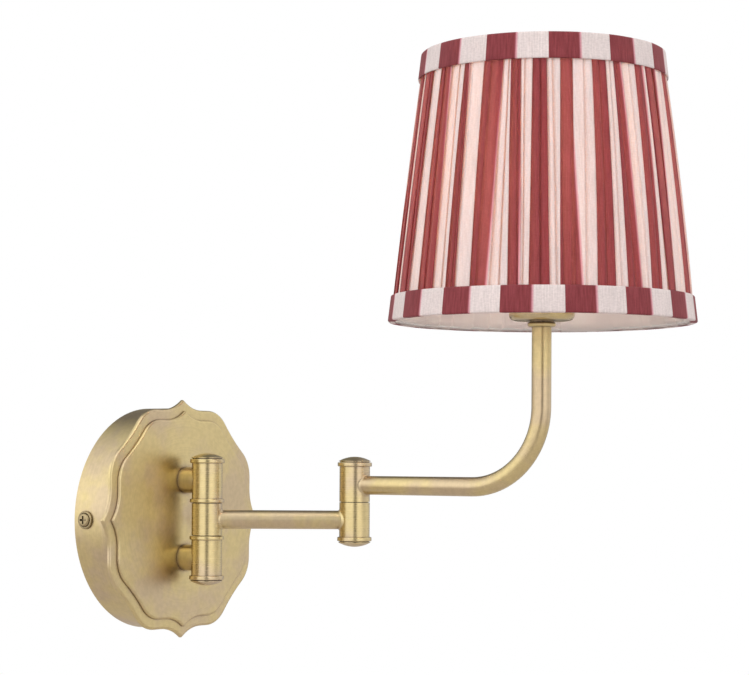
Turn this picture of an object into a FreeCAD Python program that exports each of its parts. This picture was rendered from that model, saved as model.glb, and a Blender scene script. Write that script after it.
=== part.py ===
"""Swing arm wall light with a gathered fabric shade, one STEP file per sub-part, in millimetres.

The origin is the centre of the wall fixing. The wall is the plane y = 0 and the light stands
out towards -Y, +X is to the right for someone who faces the wall, and +Z is up. The light is
drawn with its inner arm swung 38 degrees to the right and its outer arm straight out.
"""
import FreeCAD, Part
import math
import os

V = FreeCAD.Vector
UP = V(0, 0, 1)
DOWN = V(0, 0, -1)
OUT = V(0, -1, 0)
INTO = V(0, 1, 0)
RIGHT = V(1, 0, 0)
LEFT = V(-1, 0, 0)

# Clearances
SEAT = 0.05            # between pieces of one body that are screwed or brazed together
RUNNING = 0.05         # radial, pin in bore
AXIAL = 0.1            # between faces that turn on each other
FREE = 0.4             # round a piece that turns inside another
BEYOND = 1.0           # how far a cutter passes beyond what it cuts

# Backplate: a round drum, a scalloped plate on it, and a smaller scalloped panel on that
DRUM_R = 59.5
DRUM_DEPTH = 22.2
DRUM_WALL = 1.2
PLATE_TIP_R = 64.0
PLATE_THICK = 1.8
PANEL_TIP_R = 58.0
PANEL_THICK = 1.5
PLATE_FRONT = DRUM_DEPTH + PLATE_THICK
PANEL_FRONT = PLATE_FRONT + PANEL_THICK
DRUM_ROUND = 0.6
PLATE_ROUND = 1.4
PANEL_ROUND = 1.2

# One eighth of the scalloped outline, at the plate's size: pointed tip, valley, lobe, waist
TIP_ROUND = 1.5
VALLEY_X = 16.0
VALLEY_Z = 58.6
LOBE_X = 22.1
LOBE_R = 18.2
WAIST_R = 61.7

# Wall bracket and what is fixed to it
FIX_SPACING = 60.3
SLOT_LENGTH = 12.0
SLOT_R = 2.25
BRACKET_THICK = 1.5
BRACKET_WIDTH = 24.0
BRACKET_REACH = 56.8
EAR_DEPTH = 13.0
EAR_WIDTH = 16.0
EAR_THICK = 2.5
TONGUE_WIDTH = 22.0
TONGUE_LENGTH = 28.0
BRACKET_HOLE_R = 7.0
EARTH_X = 15.5

# Screws: M4 pan heads with a cross recess, its sizes in parts of the head's radius
SCREW_R = 2.0
SCREW_HOLE_R = 2.15
SCREW_HEAD_R = 3.5
RECESS_REACH = 0.6
RECESS_HALF_WIDTH = 0.14
RECESS_DEPTH = 0.6     # of the head's height, as is the round of its rim
EARTH_SHANK = 2.5
EARTH_HEAD = 2.2
EARTH_WASHER_R = 4.2
EARTH_WASHER = 1.0

# Side screws and their cupped collars: heights are from the drum's side
SIDE_SCREW_Y = -8.0
SIDE_SHANK = 10.0
SIDE_HEAD = 1.9
SIDE_COLLAR_R = 4.7
SIDE_COLLAR_FOOT = -0.4
SIDE_COLLAR_TOP = 1.3
SIDE_COLLAR_ROUND = 0.5
SIDE_CUP_R = 3.8
SIDE_CUP_FLOOR = 0.55

# Terminal block
BLOCK_SIZE = (26.0, 11.5, 17.0)
BLOCK_TOP_Z = -19.0
POLE_PITCH = 8.0
POLE_BORE_R = 2.4
POLE_SCREW_Z = 4.4
BLOCK_ROUND = 1.0
BLOCK_MIDDLE_Z = BLOCK_TOP_Z - BLOCK_SIZE[2] / 2
POLE_WELL_R = 2.1
SLEEVE_BORE_R = 1.5
SLEEVE_LENGTH = 13.0
TAP_R = 1.35
POLE_HEAD_R = 1.8
POLE_HEAD = 2.0
POLE_SHANK_R = 1.3
POLE_SLOT = (0.5, 0.8)  # width, depth

# Hinge barrels and their rings and caps
BARREL_R = 8.15
RING_R = 9.2
RING_ROUND = 0.5
BORE_R = 5.0 + RUNNING
WELL_R = 6.9
RECESS_R = 6.6
CAP_PLUG_R = 6.8
CAP_NECK_R = 7.9
CAP_NECK = 0.45
CAP_BRIM_R = 8.55
CAP_BRIM = 0.3
CAP_DOME = 2.3
PIN_R = 5.0
PIN_BORE_R = 3.7
PIN_HOLE_R = 2.4       # in a pin's side, for the flex
WINDOW_EDGE = 0.5      # how far a pin's window stops short of its axis
WASHER_R = 7.4
NUT_R = WELL_R - FREE
NUT_SLOT = (1.6, 1.0)  # width, depth

# Hub, on the wall: heights on its axis
HUB_Y = -40.5
HUB = V(0, HUB_Y, 0)
HUB_SWING_TOP = 8.5
HUB_WASHER = 0.3
HUB_RING = (HUB_SWING_TOP + AXIAL + HUB_WASHER, HUB_SWING_TOP + AXIAL + HUB_WASHER + 2.0)
HUB_WELL = 23.0
HUB_BARREL_TOP = 30.0
END_RING = 2.2
HUB_PIN_TOP = 27.6
HUB_PLUG = 28.0
HUB_SPRING = 0.8
HUB_WINDOW = 3.5
HUB_RECESS = 4.5

# Posts that carry the hub
POST_Z = 20.8
POST_R = 7.0
SPIGOT_R = 4.95
SPIGOT_END_Y = -15.5
POST_BORE_R = 3.4
POST_WASHER_R = 8.5
POST_WASHER = 1.0
POST_NUT = 4.0
POST_NUT_FLATS = 14.0

# Arms
TUBE_R = 5.0
TUBE_BORE_R = 4.0
INNER_ANGLE = math.radians(38.0)
INNER_LENGTH = 79.0
OUTER_LENGTH = 115.4
OUTER_Z = 18.7
BEND_R = 41.0
TUBE_TOP_Z = 110.0
INNER_DIR = V(math.sin(INNER_ANGLE), -math.cos(INNER_ANGLE), 0)
ELBOW = HUB + INNER_DIR * INNER_LENGTH
STEM = ELBOW + OUT * OUTER_LENGTH

# Elbow: heights on its axis
ELBOW_BOTTOM = -9.1
ELBOW_LOWER_WELL = -5.5
ELBOW_SEAM = 9.4
ELBOW_WASHER = 0.3
ELBOW_UPPER = ELBOW_SEAM + ELBOW_WASHER + AXIAL
ELBOW_RECESS = (14.0, 23.4)
ELBOW_LEDGE = 25.0
ELBOW_TOP = 28.7
ELBOW_PIN_TOP = 28.1
ELBOW_PLUG = 28.5
ELBOW_WINDOW = 3.0
ELBOW_NUT = 3.0
ELBOW_LEDGE_WASHER = 0.4
ELBOW_NUT_BOTTOM = ELBOW_LEDGE + AXIAL + ELBOW_LEDGE_WASHER

# Collar and dish under the shade
COLLAR_R = 7.25
COLLAR_NECK_R = 6.3
COLLAR_Z = (100.1, 102.5)
DISH_R = 16.6
DISH_Z = (103.3, 107.6)
DISH_WALL = 1.0
DISH_ROUND = 2.8

# Lampholder and bulb
HOLDER_R = 13.5
HOLDER_BASE_TOP = 118.0
HOLDER_SHELL_R = 13.9
HOLDER_TOP = 150.0
HOLDER_FLOOR = 3.0
HOLDER_WALL = 1.5
HOLDER_LIP = 2.0
THREAD_PITCH = 2.5
THREAD_DEPTH = 0.6
THREAD_RISE = (0.5, 1.2, 1.7)
CORE_Z = (TUBE_TOP_Z + 1.0, TUBE_TOP_Z + 13.0)
CORE_HOLE_R = 1.3
CORE_HOLE = (4.0, 5.5)
CONTACT_WIDTH = 4.0
CONTACT_THICK = 0.5
SIDE_CONTACT_THICK = 0.6
SIDE_CONTACT_HEIGHT = 15.0
CARRIER_Z = 130.0
CARRIER_THICK = 1.2
CARRIER_RING = 4.0
SHADE_NUT_R = 20.0
SHADE_NUT_THICK = 5.0
GRIPS = 12
GRIP_R = 2.0
LAMP_CAP_R = 6.9
LAMP_CAP_Z = (127.0, 150.8)
LAMP_CAP_WALL = 0.7
LAMP_CAP_CONE = 4.0
LAMP_CONTACT_R = 3.0
LAMP_CONTACT = 1.0
LAMP_THREADS = 5
LAMP_THREAD_DEPTH = 0.9
LAMP_STEM_R = 2.2
LAMP_STEM = 16.0
LIGHT_STRIPS = 4
STRIP_R = 0.9
STRIP_LENGTH = 24.0
STRIP_CIRCLE_R = 5.0
BULB_NECK_R = 10.0
BULB_R = 22.5
BULB_CENTRE_Z = 181.0
BULB_WALL = 1.0

# Shade, a tapered drum: radii are the outside of its two bands
SHADE_Z = (102.1, 238.3)
SHADE_R = (78.1, 61.8)
BAND_HEIGHT = 13.2
BAND_THICK = 1.1
BAND_LIP = 1.0
COVER_THICK = 1.3
LINING_THICK = 1.1
FRAME_WIRE_R = 1.2
STRUT_WIRE_R = 0.9
STRUTS = 6
SPOKES = 3
SPOKE_WIDTH = 4.0
SPOKE_PLAY = 0.3
SHADE_SLOPE = (SHADE_R[0] - SHADE_R[1]) / (SHADE_Z[1] - SHADE_Z[0])
COVER_INSET = BAND_THICK + SEAT
FRAME_INSET = COVER_INSET + COVER_THICK + SEAT + FRAME_WIRE_R
LINING_INSET = FRAME_INSET + FRAME_WIRE_R + SEAT

# Mains flex inside the light
FLEX_R = 1.8
FLEX_BEND = 9.0
FLEX_GAP = 0.5         # between a hinge pin and the end of an arm's flex
FLEX_Y = -7.5
PIN_BEND = 3.6


# ---------- shapes

def rod(radius, start, length, direction=UP):
    """A round bar from start along direction."""
    return Part.makeCylinder(radius, length, start, direction)


def sleeve(outer, inner, start, length, direction=UP):
    """A round bar with a bore right through it."""
    return rod(outer, start, length, direction).cut(rod(inner, start, length, direction))


def block(x, y, z):
    """A box between two limits on each axis."""
    return Part.makeBox(x[1] - x[0], y[1] - y[0], z[1] - z[0], V(x[0], y[0], z[0]))


def wire_of(points):
    """A closed wire in the XZ plane. Each step is a point, or a pair: a point on an arc, its end."""
    edges = []
    here = points[0]
    for step in points[1:] + [points[0]]:
        if isinstance(step[0], tuple):
            through, end = step
            edges.append(Part.Arc(flat(here), flat(through), flat(end)).toShape())
        else:
            end = step
            edges.append(Part.LineSegment(flat(here), flat(end)).toShape())
        here = end
    return Part.Wire(edges)


def flat(point):
    """A point of the XZ plane."""
    return V(point[0], 0, point[1])


def turned(points, centre):
    """A solid of revolution about the vertical through centre, from (radius, height) points."""
    solid = Part.Face(wire_of(points)).revolve(V(0, 0, 0), UP, 360)
    return solid.translated(V(centre.x, centre.y, 0))


def upside_down(shape, z=0.0):
    """The mirror image in a level plane."""
    return shape.mirror(V(0, 0, z), UP)


def rounded(solid, radius, wanted):
    """The solid with a round along each edge that wanted picks."""
    return solid.makeFillet(radius, [edge for edge in solid.Edges if wanted(edge)])


def swept(radius, edges):
    """A round bar along a path of edges that are tangent to each other."""
    path = Part.Wire(edges)
    start = edges[0].valueAt(edges[0].FirstParameter)
    heading = edges[0].tangentAt(edges[0].FirstParameter)
    section = Part.Wire(Part.makeCircle(radius, start, heading))
    return path.makePipeShell([section], True, True)


def quarter(start, heading, turn_to, radius):
    """A quarter arc from start that leaves along heading and arrives along turn_to, with its end."""
    centre = start + turn_to * radius
    through = centre + (heading - turn_to).normalize() * radius
    end = centre + heading * radius
    return Part.Arc(start, through, end).toShape(), end


def line(start, end):
    """A straight edge."""
    return Part.LineSegment(start, end).toShape()


def hexagon(flats, start, length, direction):
    """A hexagonal bar along Y."""
    corner = flats / math.sqrt(3)
    angles = [math.radians(60 * k) for k in range(7)]
    ring = [V(start.x + corner * math.cos(a), start.y, start.z + corner * math.sin(a)) for a in angles]
    return Part.Face(Part.makePolygon(ring)).extrude(direction * length)


def pan_screw(seat, direction, shank_length, head_height):
    """A pan-head screw with a cross recess. direction points from the shank out of the head."""
    head_r = SCREW_HEAD_R
    body = rod(head_r, seat, head_height, direction)
    top = seat + direction * head_height
    recess_depth = head_height * RECESS_DEPTH
    body = rounded(body, recess_depth, lambda e: is_circle_at(e, top, head_r))
    side = direction.cross(UP).normalize()
    recess = []
    for along, across in ((side, UP), (UP, side)):
        reach = along * head_r * RECESS_REACH
        half = across * head_r * RECESS_HALF_WIDTH
        corners = [top - reach - half, top + reach - half, top + reach + half, top - reach + half]
        face = Part.Face(Part.makePolygon(corners + corners[:1]))
        recess.append(face.extrude(direction * -recess_depth))
    shank = rod(SCREW_R, seat, shank_length, direction * -1)
    return body.cut(recess).fuse(shank).removeSplitter()


def is_circle_at(edge, centre, radius):
    """Whether an edge is the full circle of that centre and radius."""
    curve = edge.Curve
    if not hasattr(curve, "Radius") or not hasattr(curve, "Center"):
        return False
    return abs(curve.Radius - radius) < 1e-4 and (curve.Center - centre).Length < 1e-4


def save(name, *solids):
    """Writes one sub-part, which may be several separate solids."""
    shape = solids[0] if len(solids) == 1 else Part.makeCompound(list(solids))
    for solid in shape.Solids:
        if not solid.isValid() or solid.Volume <= 0:
            raise ValueError(f"{name} has a solid that isn't valid")
    shape.exportStep(os.path.join("parts", name + ".step"))


# ---------- backplate

def octant(scale):
    """One eighth of the scalloped outline, from a tip to a waist: a list of (start, through, end)."""
    tip_z = PLATE_TIP_R - TIP_ROUND
    rise = tip_z - VALLEY_Z
    hollow_r = (VALLEY_X ** 2 + rise ** 2 - TIP_ROUND ** 2) / (2 * (PLATE_TIP_R - VALLEY_Z))
    tip = V(0, 0, tip_z)
    hollow = V(VALLEY_X, 0, VALLEY_Z + hollow_r)
    lobe = V(LOBE_X, 0, VALLEY_Z - LOBE_R)
    diagonal = V(1, 0, 1).normalize()
    reach = diagonal.dot(lobe)
    waist_bend = (LOBE_R ** 2 - WAIST_R ** 2 + 2 * WAIST_R * reach - lobe.dot(lobe)) / (
        2 * (WAIST_R - reach - LOBE_R)
    )
    waist = diagonal * (WAIST_R + waist_bend)
    top = V(0, 0, PLATE_TIP_R)
    leave_tip = tip + (hollow - tip).normalize() * TIP_ROUND
    valley = V(VALLEY_X, 0, VALLEY_Z)
    lobe_start = V(LOBE_X, 0, VALLEY_Z)
    lobe_end = lobe + (waist - lobe).normalize() * LOBE_R
    middle = diagonal * WAIST_R
    arcs = [
        (top, tip, TIP_ROUND, leave_tip),
        (leave_tip, hollow, hollow_r, valley),
        (valley, None, 0, lobe_start),
        (lobe_start, lobe, LOBE_R, lobe_end),
        (lobe_end, waist, waist_bend, middle),
    ]
    found = []
    for start, centre, radius, end in arcs:
        halfway = (start + end) * 0.5
        if centre is not None:
            halfway = centre + (halfway - centre).normalize() * radius
        found.append([p * scale for p in (start, halfway, end)])
    return found


def scalloped_face(tip_radius, y):
    """The face inside the scalloped outline, standing in the plane at y."""
    edges = []
    eighth = octant(tip_radius / PLATE_TIP_R)
    for turn in range(4):
        a = math.radians(90 * turn)
        for flip in (False, True):
            for points in eighth:
                places = []
                for p in points:
                    x, z = (p.z, p.x) if flip else (p.x, p.z)
                    places.append(V(x * math.cos(a) + z * math.sin(a), y, z * math.cos(a) - x * math.sin(a)))
                straight = abs((places[1] - (places[0] + places[2]) * 0.5).Length) < 1e-6
                edges.append(line(places[0], places[2]) if straight else Part.Arc(*places).toShape())
    return Part.Face(Part.Wire(Part.__sortEdges__(edges)))


def scalloped_sheet(tip_radius, back, front, edge_round):
    """A scalloped sheet between two distances from the wall, rounded in front, with the post holes."""
    sheet = scalloped_face(tip_radius, -back).extrude(OUT * (front - back))
    sheet = rounded(sheet, edge_round, lambda e: abs(e.BoundBox.YMax + front) < 1e-4)
    return sheet.cut(post_holes(SPIGOT_R + SEAT))


def post_holes(radius):
    """Cutters for the two holes that the posts' spigots go through."""
    return [rod(radius, V(0, 0, z), PANEL_FRONT + BEYOND, OUT) for z in (-POST_Z, POST_Z)]


def backplate_drum():
    """The drum, open towards the wall."""
    shell = rod(DRUM_R, V(0, 0, 0), DRUM_DEPTH, OUT)
    shell = rounded(shell, DRUM_ROUND, lambda e: is_circle_at(e, OUT * DRUM_DEPTH, DRUM_R))
    inside = rod(DRUM_R - DRUM_WALL, V(0, 0, 0), DRUM_DEPTH - DRUM_WALL, OUT)
    reach = DRUM_R + BEYOND
    side_holes = rod(SCREW_HOLE_R, V(-reach, SIDE_SCREW_Y, 0), 2 * reach, RIGHT)
    return shell.cut([inside, side_holes] + post_holes(SPIGOT_R + SEAT))


def side_screw(side):
    """The screw that holds the drum to the bracket's ear on one side."""
    seat = V(side.x * (DRUM_R + SIDE_CUP_FLOOR + SEAT), SIDE_SCREW_Y, 0)
    return pan_screw(seat, side, SIDE_SHANK, SIDE_HEAD)


def side_collar(side):
    """The cupped washer round that screw's head, hollowed to fit the drum."""
    height = SIDE_COLLAR_TOP - SIDE_COLLAR_FOOT
    foot = V(side.x * (DRUM_R + SIDE_COLLAR_FOOT), SIDE_SCREW_Y, 0)
    floor = V(side.x * (DRUM_R + SIDE_CUP_FLOOR), SIDE_SCREW_Y, 0)
    ring = rod(SIDE_COLLAR_R, foot, height, side)
    rim = foot + side * height
    ring = rounded(ring, SIDE_COLLAR_ROUND, lambda e: is_circle_at(e, rim, SIDE_COLLAR_R))
    hole = rod(SCREW_HOLE_R, foot, height, side)
    cup = rod(SIDE_CUP_R, floor, height, side)
    return ring.cut([hole, cup, rod(DRUM_R, V(0, 0, 0), DRUM_DEPTH, OUT)])


# ---------- wall bracket and wiring

def wall_bracket():
    """A steel strap across the back with two fixing slots and a tongue below."""
    half = BRACKET_WIDTH / 2
    depth = (-BRACKET_THICK, 0)
    strap = block((-BRACKET_REACH, BRACKET_REACH), depth, (-half, half))
    tongue = block((-TONGUE_WIDTH / 2, TONGUE_WIDTH / 2), depth, (-half - TONGUE_LENGTH, -half))
    body = strap.fuse(tongue)
    cuts = [rod(BRACKET_HOLE_R, V(0, 0, 0), BRACKET_THICK, OUT)]
    cuts.append(rod(SCREW_R + SEAT, V(EARTH_X, 0, 0), BRACKET_THICK, OUT))
    for side in (-1, 1):
        reach = SLOT_LENGTH / 2 - SLOT_R
        x = side * FIX_SPACING / 2
        cuts.append(block((x - reach, x + reach), depth, (-SLOT_R, SLOT_R)))
        for end in (-reach, reach):
            cuts.append(rod(SLOT_R, V(x + end, 0, 0), BRACKET_THICK, OUT))
    return body.cut(cuts).removeSplitter()


def bracket_ear(side):
    """The lug on one end of the strap, tapped for the side screw."""
    ends = sorted((side.x * BRACKET_REACH, side.x * (BRACKET_REACH - EAR_THICK)))
    body = block(ends, (-EAR_DEPTH, -BRACKET_THICK), (-EAR_WIDTH / 2, EAR_WIDTH / 2))
    return body.cut(rod(SCREW_R + SEAT, V(0, SIDE_SCREW_Y, 0), BRACKET_REACH, side))


def earth_screw():
    """The earth screw on the bracket."""
    return pan_screw(V(EARTH_X, -BRACKET_THICK - EARTH_WASHER, 0), OUT, EARTH_SHANK, EARTH_HEAD)


def earth_washer():
    """The washer under the earth screw's head."""
    return sleeve(EARTH_WASHER_R, SCREW_R + SEAT, V(EARTH_X, -BRACKET_THICK, 0), EARTH_WASHER - SEAT, OUT)


def pole_places():
    """The sideways places of the terminal block's three poles."""
    return [k * POLE_PITCH for k in (-1, 0, 1)]


def terminal_block():
    """A three-pole block on the bracket's tongue, with a bore and two screw wells for each pole."""
    width, depth, height = BLOCK_SIZE
    y = (-BRACKET_THICK - depth, -BRACKET_THICK)
    z = (BLOCK_TOP_Z - height, BLOCK_TOP_Z)
    body = block((-width / 2, width / 2), y, z)
    body = rounded(body, BLOCK_ROUND, lambda e: abs(e.BoundBox.YMax - y[0]) < 1e-4)
    cuts = []
    for x in pole_places():
        cuts.append(rod(POLE_BORE_R, V(x, FLEX_Y, z[0]), height))
        for end in (-POLE_SCREW_Z, POLE_SCREW_Z):
            cuts.append(rod(POLE_WELL_R, V(x, y[0], BLOCK_MIDDLE_Z + end), FLEX_Y - y[0], INTO))
    return body.cut(cuts)


def terminal_sleeves():
    """The brass sleeve in each pole, tapped for its two screws."""
    made = []
    for x in pole_places():
        foot = V(x, FLEX_Y, BLOCK_MIDDLE_Z - SLEEVE_LENGTH / 2)
        body = sleeve(POLE_BORE_R - SEAT, SLEEVE_BORE_R, foot, SLEEVE_LENGTH)
        ends = [V(x, FLEX_Y, BLOCK_MIDDLE_Z + end) for end in (-POLE_SCREW_Z, POLE_SCREW_Z)]
        made.append(body.cut([rod(TAP_R, place, POLE_BORE_R, OUT) for place in ends]))
    return made


def terminal_screws():
    """The slotted screws of the terminal block."""
    slot_width, slot_depth = POLE_SLOT
    across = (-POLE_HEAD_R, POLE_HEAD_R)
    made = []
    for x in pole_places():
        for end in (-POLE_SCREW_Z, POLE_SCREW_Z):
            seat = V(x, FLEX_Y - POLE_BORE_R - SEAT, BLOCK_MIDDLE_Z + end)
            head = rod(POLE_HEAD_R, seat, POLE_HEAD, OUT)
            shank = rod(POLE_SHANK_R, seat, POLE_BORE_R - SEAT, INTO)
            slot = block(across, (-POLE_HEAD, slot_depth - POLE_HEAD), (-slot_width / 2, slot_width / 2))
            made.append(head.fuse(shank).cut(slot.translated(seat)).removeSplitter())
    return made


def base_flex():
    """The flex from the terminal block up the drum, out through the upper post and down the pin."""
    start = V(0, FLEX_Y, BLOCK_TOP_Z + SEAT)
    corner = V(0, FLEX_Y, POST_Z - FLEX_BEND)
    bend, after = quarter(corner, UP, OUT, FLEX_BEND)
    turn = V(0, HUB_Y + PIN_BEND, POST_Z)
    down, inside = quarter(turn, OUT, DOWN, PIN_BEND)
    end = V(0, HUB_Y, HUB_RECESS)
    return swept(FLEX_R, [line(start, corner), bend, line(after, turn), down, line(inside, end)])


# ---------- hinge pieces that the hub and the elbow share

def hinge_ring(centre, z, height, bore):
    """A turned ring with softened rims."""
    body = sleeve(RING_R, bore, V(centre.x, centre.y, z), height)
    rims = [V(centre.x, centre.y, level) for level in (z, z + height)]
    return rounded(body, RING_ROUND, lambda e: any(is_circle_at(e, rim, RING_R) for rim in rims))


def hinge_cap(centre, plug_z, ring_top):
    """A cap whose plug fills the barrel's well: a narrow neck, then a brim and a low dome."""
    brim = ring_top + CAP_NECK
    dome = brim + CAP_BRIM
    top = dome + CAP_DOME
    half_r = CAP_BRIM_R / 2
    bulge = (CAP_BRIM_R ** 2 + CAP_DOME ** 2) / (2 * CAP_DOME)
    half_z = top - bulge + math.sqrt(bulge ** 2 - half_r ** 2)
    outline = [
        (0, plug_z),
        (CAP_PLUG_R, plug_z),
        (CAP_PLUG_R, ring_top),
        (CAP_NECK_R, ring_top),
        (CAP_NECK_R, brim),
        (CAP_BRIM_R, brim),
        (CAP_BRIM_R, dome),
        ((half_r, half_z), (0, top)),
    ]
    return turned(outline, centre)


def ring_nut(centre, z, height, radius):
    """A round nut with two spanner slots across its top."""
    body = sleeve(radius, PIN_R + SEAT, V(centre.x, centre.y, z), height)
    slot_width, slot_depth = NUT_SLOT
    top = z + height
    slot = block((-radius, radius), (-slot_width / 2, slot_width / 2), (top - slot_depth, top))
    return body.cut(slot.translated(V(centre.x, centre.y, 0)))


def half_window(centre, facing, z):
    """A cutter that opens the half of a pin that faces one way, between two heights."""
    reach = PIN_R + BEYOND
    opening = block((-reach, reach), (-reach, -WINDOW_EDGE), z)
    turn = math.degrees(math.atan2(facing.x, -facing.y))
    opening.rotate(V(0, 0, 0), UP, turn)
    return opening.translated(V(centre.x, centre.y, 0))


# ---------- hub

def hub_post(z):
    """A post with a threaded spigot that goes through the backplate, bored for the flex."""
    shoulder = V(0, -PANEL_FRONT - SEAT, z)
    post = rod(POST_R, shoulder, -HUB_Y - PANEL_FRONT, OUT)
    spigot = rod(SPIGOT_R, V(0, SPIGOT_END_Y, z), SPIGOT_END_Y - HUB_Y, OUT)
    barrel = rod(BARREL_R + SEAT, V(0, HUB_Y, z - 2 * POST_R), 4 * POST_R)
    bore = rod(POST_BORE_R, V(0, SPIGOT_END_Y, z), -HUB_Y, OUT)
    return post.fuse(spigot).cut([barrel, bore]).removeSplitter()


def post_washer(z):
    """The washer on a spigot, inside the drum."""
    start = V(0, -DRUM_DEPTH + DRUM_WALL, z)
    return sleeve(POST_WASHER_R, SPIGOT_R + SEAT, start, POST_WASHER, INTO)


def post_nut(z):
    """The nut on a spigot, inside the drum."""
    start = V(0, -DRUM_DEPTH + DRUM_WALL + POST_WASHER, z)
    body = hexagon(POST_NUT_FLATS, start, POST_NUT, INTO)
    return body.cut(rod(SPIGOT_R + SEAT, start, POST_NUT, INTO))


def hub_barrel():
    """The upper fixed barrel, bored for the pin, with a well for the nut and a hole to its post."""
    foot = HUB + UP * HUB_RING[1]
    body = rod(BARREL_R, foot, HUB_BARREL_TOP - HUB_RING[1])
    bore = rod(PIN_R + SEAT, foot, HUB_BARREL_TOP)
    well = rod(WELL_R, HUB + UP * HUB_WELL, HUB_BARREL_TOP)
    way_in = rod(POST_BORE_R, HUB + UP * POST_Z, 2 * BARREL_R, INTO)
    return body.cut([bore, well, way_in])


def swing_barrel():
    """The barrel that turns on the pin, with a recess for the flex and a hole into the arm."""
    height = 2 * HUB_SWING_TOP
    foot = HUB - UP * HUB_SWING_TOP
    body = sleeve(BARREL_R, BORE_R, foot, height)
    recess = rod(RECESS_R, HUB - UP * HUB_RECESS, 2 * HUB_RECESS)
    return body.cut([recess, rod(TUBE_BORE_R, HUB, 2 * BARREL_R, INNER_DIR)])


def hub_pin():
    """The hollow pin, open at the back for the flex from the post and in front for the arm."""
    body = sleeve(PIN_R, PIN_BORE_R, HUB - UP * HUB_PIN_TOP, 2 * HUB_PIN_TOP)
    way_in = rod(PIN_HOLE_R, HUB + UP * POST_Z, 2 * PIN_R, INTO)
    return body.cut([way_in, half_window(HUB, OUT, (-HUB_WINDOW, HUB_WINDOW))])


# ---------- elbow

def elbow_lower_barrel():
    """The inner arm's half of the elbow."""
    foot = ELBOW + UP * ELBOW_BOTTOM
    body = sleeve(BARREL_R, PIN_R + SEAT, foot, ELBOW_SEAM - ELBOW_BOTTOM)
    well = rod(WELL_R, foot, ELBOW_LOWER_WELL - ELBOW_BOTTOM)
    return body.cut([well, rod(TUBE_BORE_R, ELBOW, 2 * BARREL_R, INNER_DIR * -1)])


def elbow_upper_barrel():
    """The outer arm's half of the elbow, which turns on the pin."""
    foot = ELBOW + UP * ELBOW_UPPER
    body = sleeve(BARREL_R, BORE_R, foot, ELBOW_TOP - ELBOW_UPPER)
    recess = rod(RECESS_R, ELBOW + UP * ELBOW_RECESS[0], ELBOW_RECESS[1] - ELBOW_RECESS[0])
    well = rod(WELL_R, ELBOW + UP * ELBOW_LEDGE, ELBOW_TOP - ELBOW_LEDGE)
    return body.cut([recess, well, rod(TUBE_BORE_R, ELBOW + UP * OUTER_Z, 2 * BARREL_R, OUT)])


def elbow_pin():
    """The hollow pin, fixed in the lower barrel, open towards each arm for the flex."""
    foot = ELBOW_LOWER_WELL - ELBOW_NUT
    body = sleeve(PIN_R, PIN_BORE_R, ELBOW + UP * foot, ELBOW_PIN_TOP - foot)
    way_in = rod(PIN_HOLE_R, ELBOW, 2 * PIN_R, INNER_DIR * -1)
    window = (OUTER_Z - ELBOW_WINDOW, OUTER_Z + ELBOW_WINDOW)
    return body.cut([way_in, half_window(ELBOW, INNER_DIR, window)])


# ---------- arms

def barrel_cutter(centre):
    """A cutter that shapes the end of a tube to sit on a barrel, centred on the tube's height."""
    return rod(BARREL_R + SEAT, centre + DOWN * 2 * TUBE_R, 4 * TUBE_R)


def inner_arm_tube():
    """The straight tube, cut at each end to sit on its barrel."""
    tube = sleeve(TUBE_R, TUBE_BORE_R, HUB, INNER_LENGTH, INNER_DIR)
    return tube.cut([barrel_cutter(centre) for centre in (HUB, ELBOW)])


def outer_arm_path(start_y, top_z):
    """The centre line of the outer arm: level, a quarter bend, then upright."""
    start = V(ELBOW.x, start_y, OUTER_Z)
    corner = V(ELBOW.x, STEM.y + BEND_R, OUTER_Z)
    bend, after = quarter(corner, OUT, UP, BEND_R)
    return [line(start, corner), bend, line(after, V(STEM.x, STEM.y, top_z))]


def outer_arm_tube():
    """The bent tube, threaded at its top for the collar, the dish and the lampholder."""
    outside = swept(TUBE_R, outer_arm_path(ELBOW.y, TUBE_TOP_Z))
    inside = swept(TUBE_BORE_R, outer_arm_path(ELBOW.y, TUBE_TOP_Z))
    return outside.cut([inside, barrel_cutter(ELBOW + UP * OUTER_Z)])


def stem_collar():
    """The rounded collar under the dish, with a narrower neck up to it."""
    low, high = COLLAR_Z
    bead = (high - low) / 2
    inner = TUBE_R + SEAT
    top = DISH_Z[0] - SEAT
    outline = [
        (inner, low),
        (COLLAR_R - bead, low),
        ((COLLAR_R, low + bead), (COLLAR_R - bead, high)),
        (COLLAR_NECK_R, high),
        (COLLAR_NECK_R, top),
        (inner, top),
    ]
    return turned(outline, STEM)


def dish():
    """The shallow dish that the lampholder stands in."""
    low, high = DISH_Z
    inner = TUBE_R + SEAT
    corner = DISH_ROUND * (1 - math.sqrt(0.5))
    inside = DISH_ROUND - DISH_WALL
    inside_corner = inside * (1 - math.sqrt(0.5))
    wall_r = DISH_R - DISH_WALL
    floor = low + DISH_WALL
    outline = [
        (inner, low),
        (DISH_R - DISH_ROUND, low),
        ((DISH_R - corner, low + corner), (DISH_R, low + DISH_ROUND)),
        (DISH_R, high),
        (wall_r, high),
        (wall_r, floor + inside),
        ((wall_r - inside_corner, floor + inside_corner), (wall_r - inside, floor)),
        (inner, floor),
    ]
    return turned(outline, STEM)


# ---------- lampholder and bulb

def lampholder_base():
    """The lower half of the lampholder, screwed onto the tube."""
    low = DISH_Z[0] + DISH_WALL + SEAT
    inner = HOLDER_R - HOLDER_WALL
    outline = [
        (TUBE_R + SEAT, low),
        (HOLDER_R, low),
        (HOLDER_R, HOLDER_BASE_TOP),
        (inner, HOLDER_BASE_TOP),
        (inner, low + HOLDER_FLOOR),
        (TUBE_R + SEAT, low + HOLDER_FLOOR),
    ]
    return turned(outline, STEM)


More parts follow.
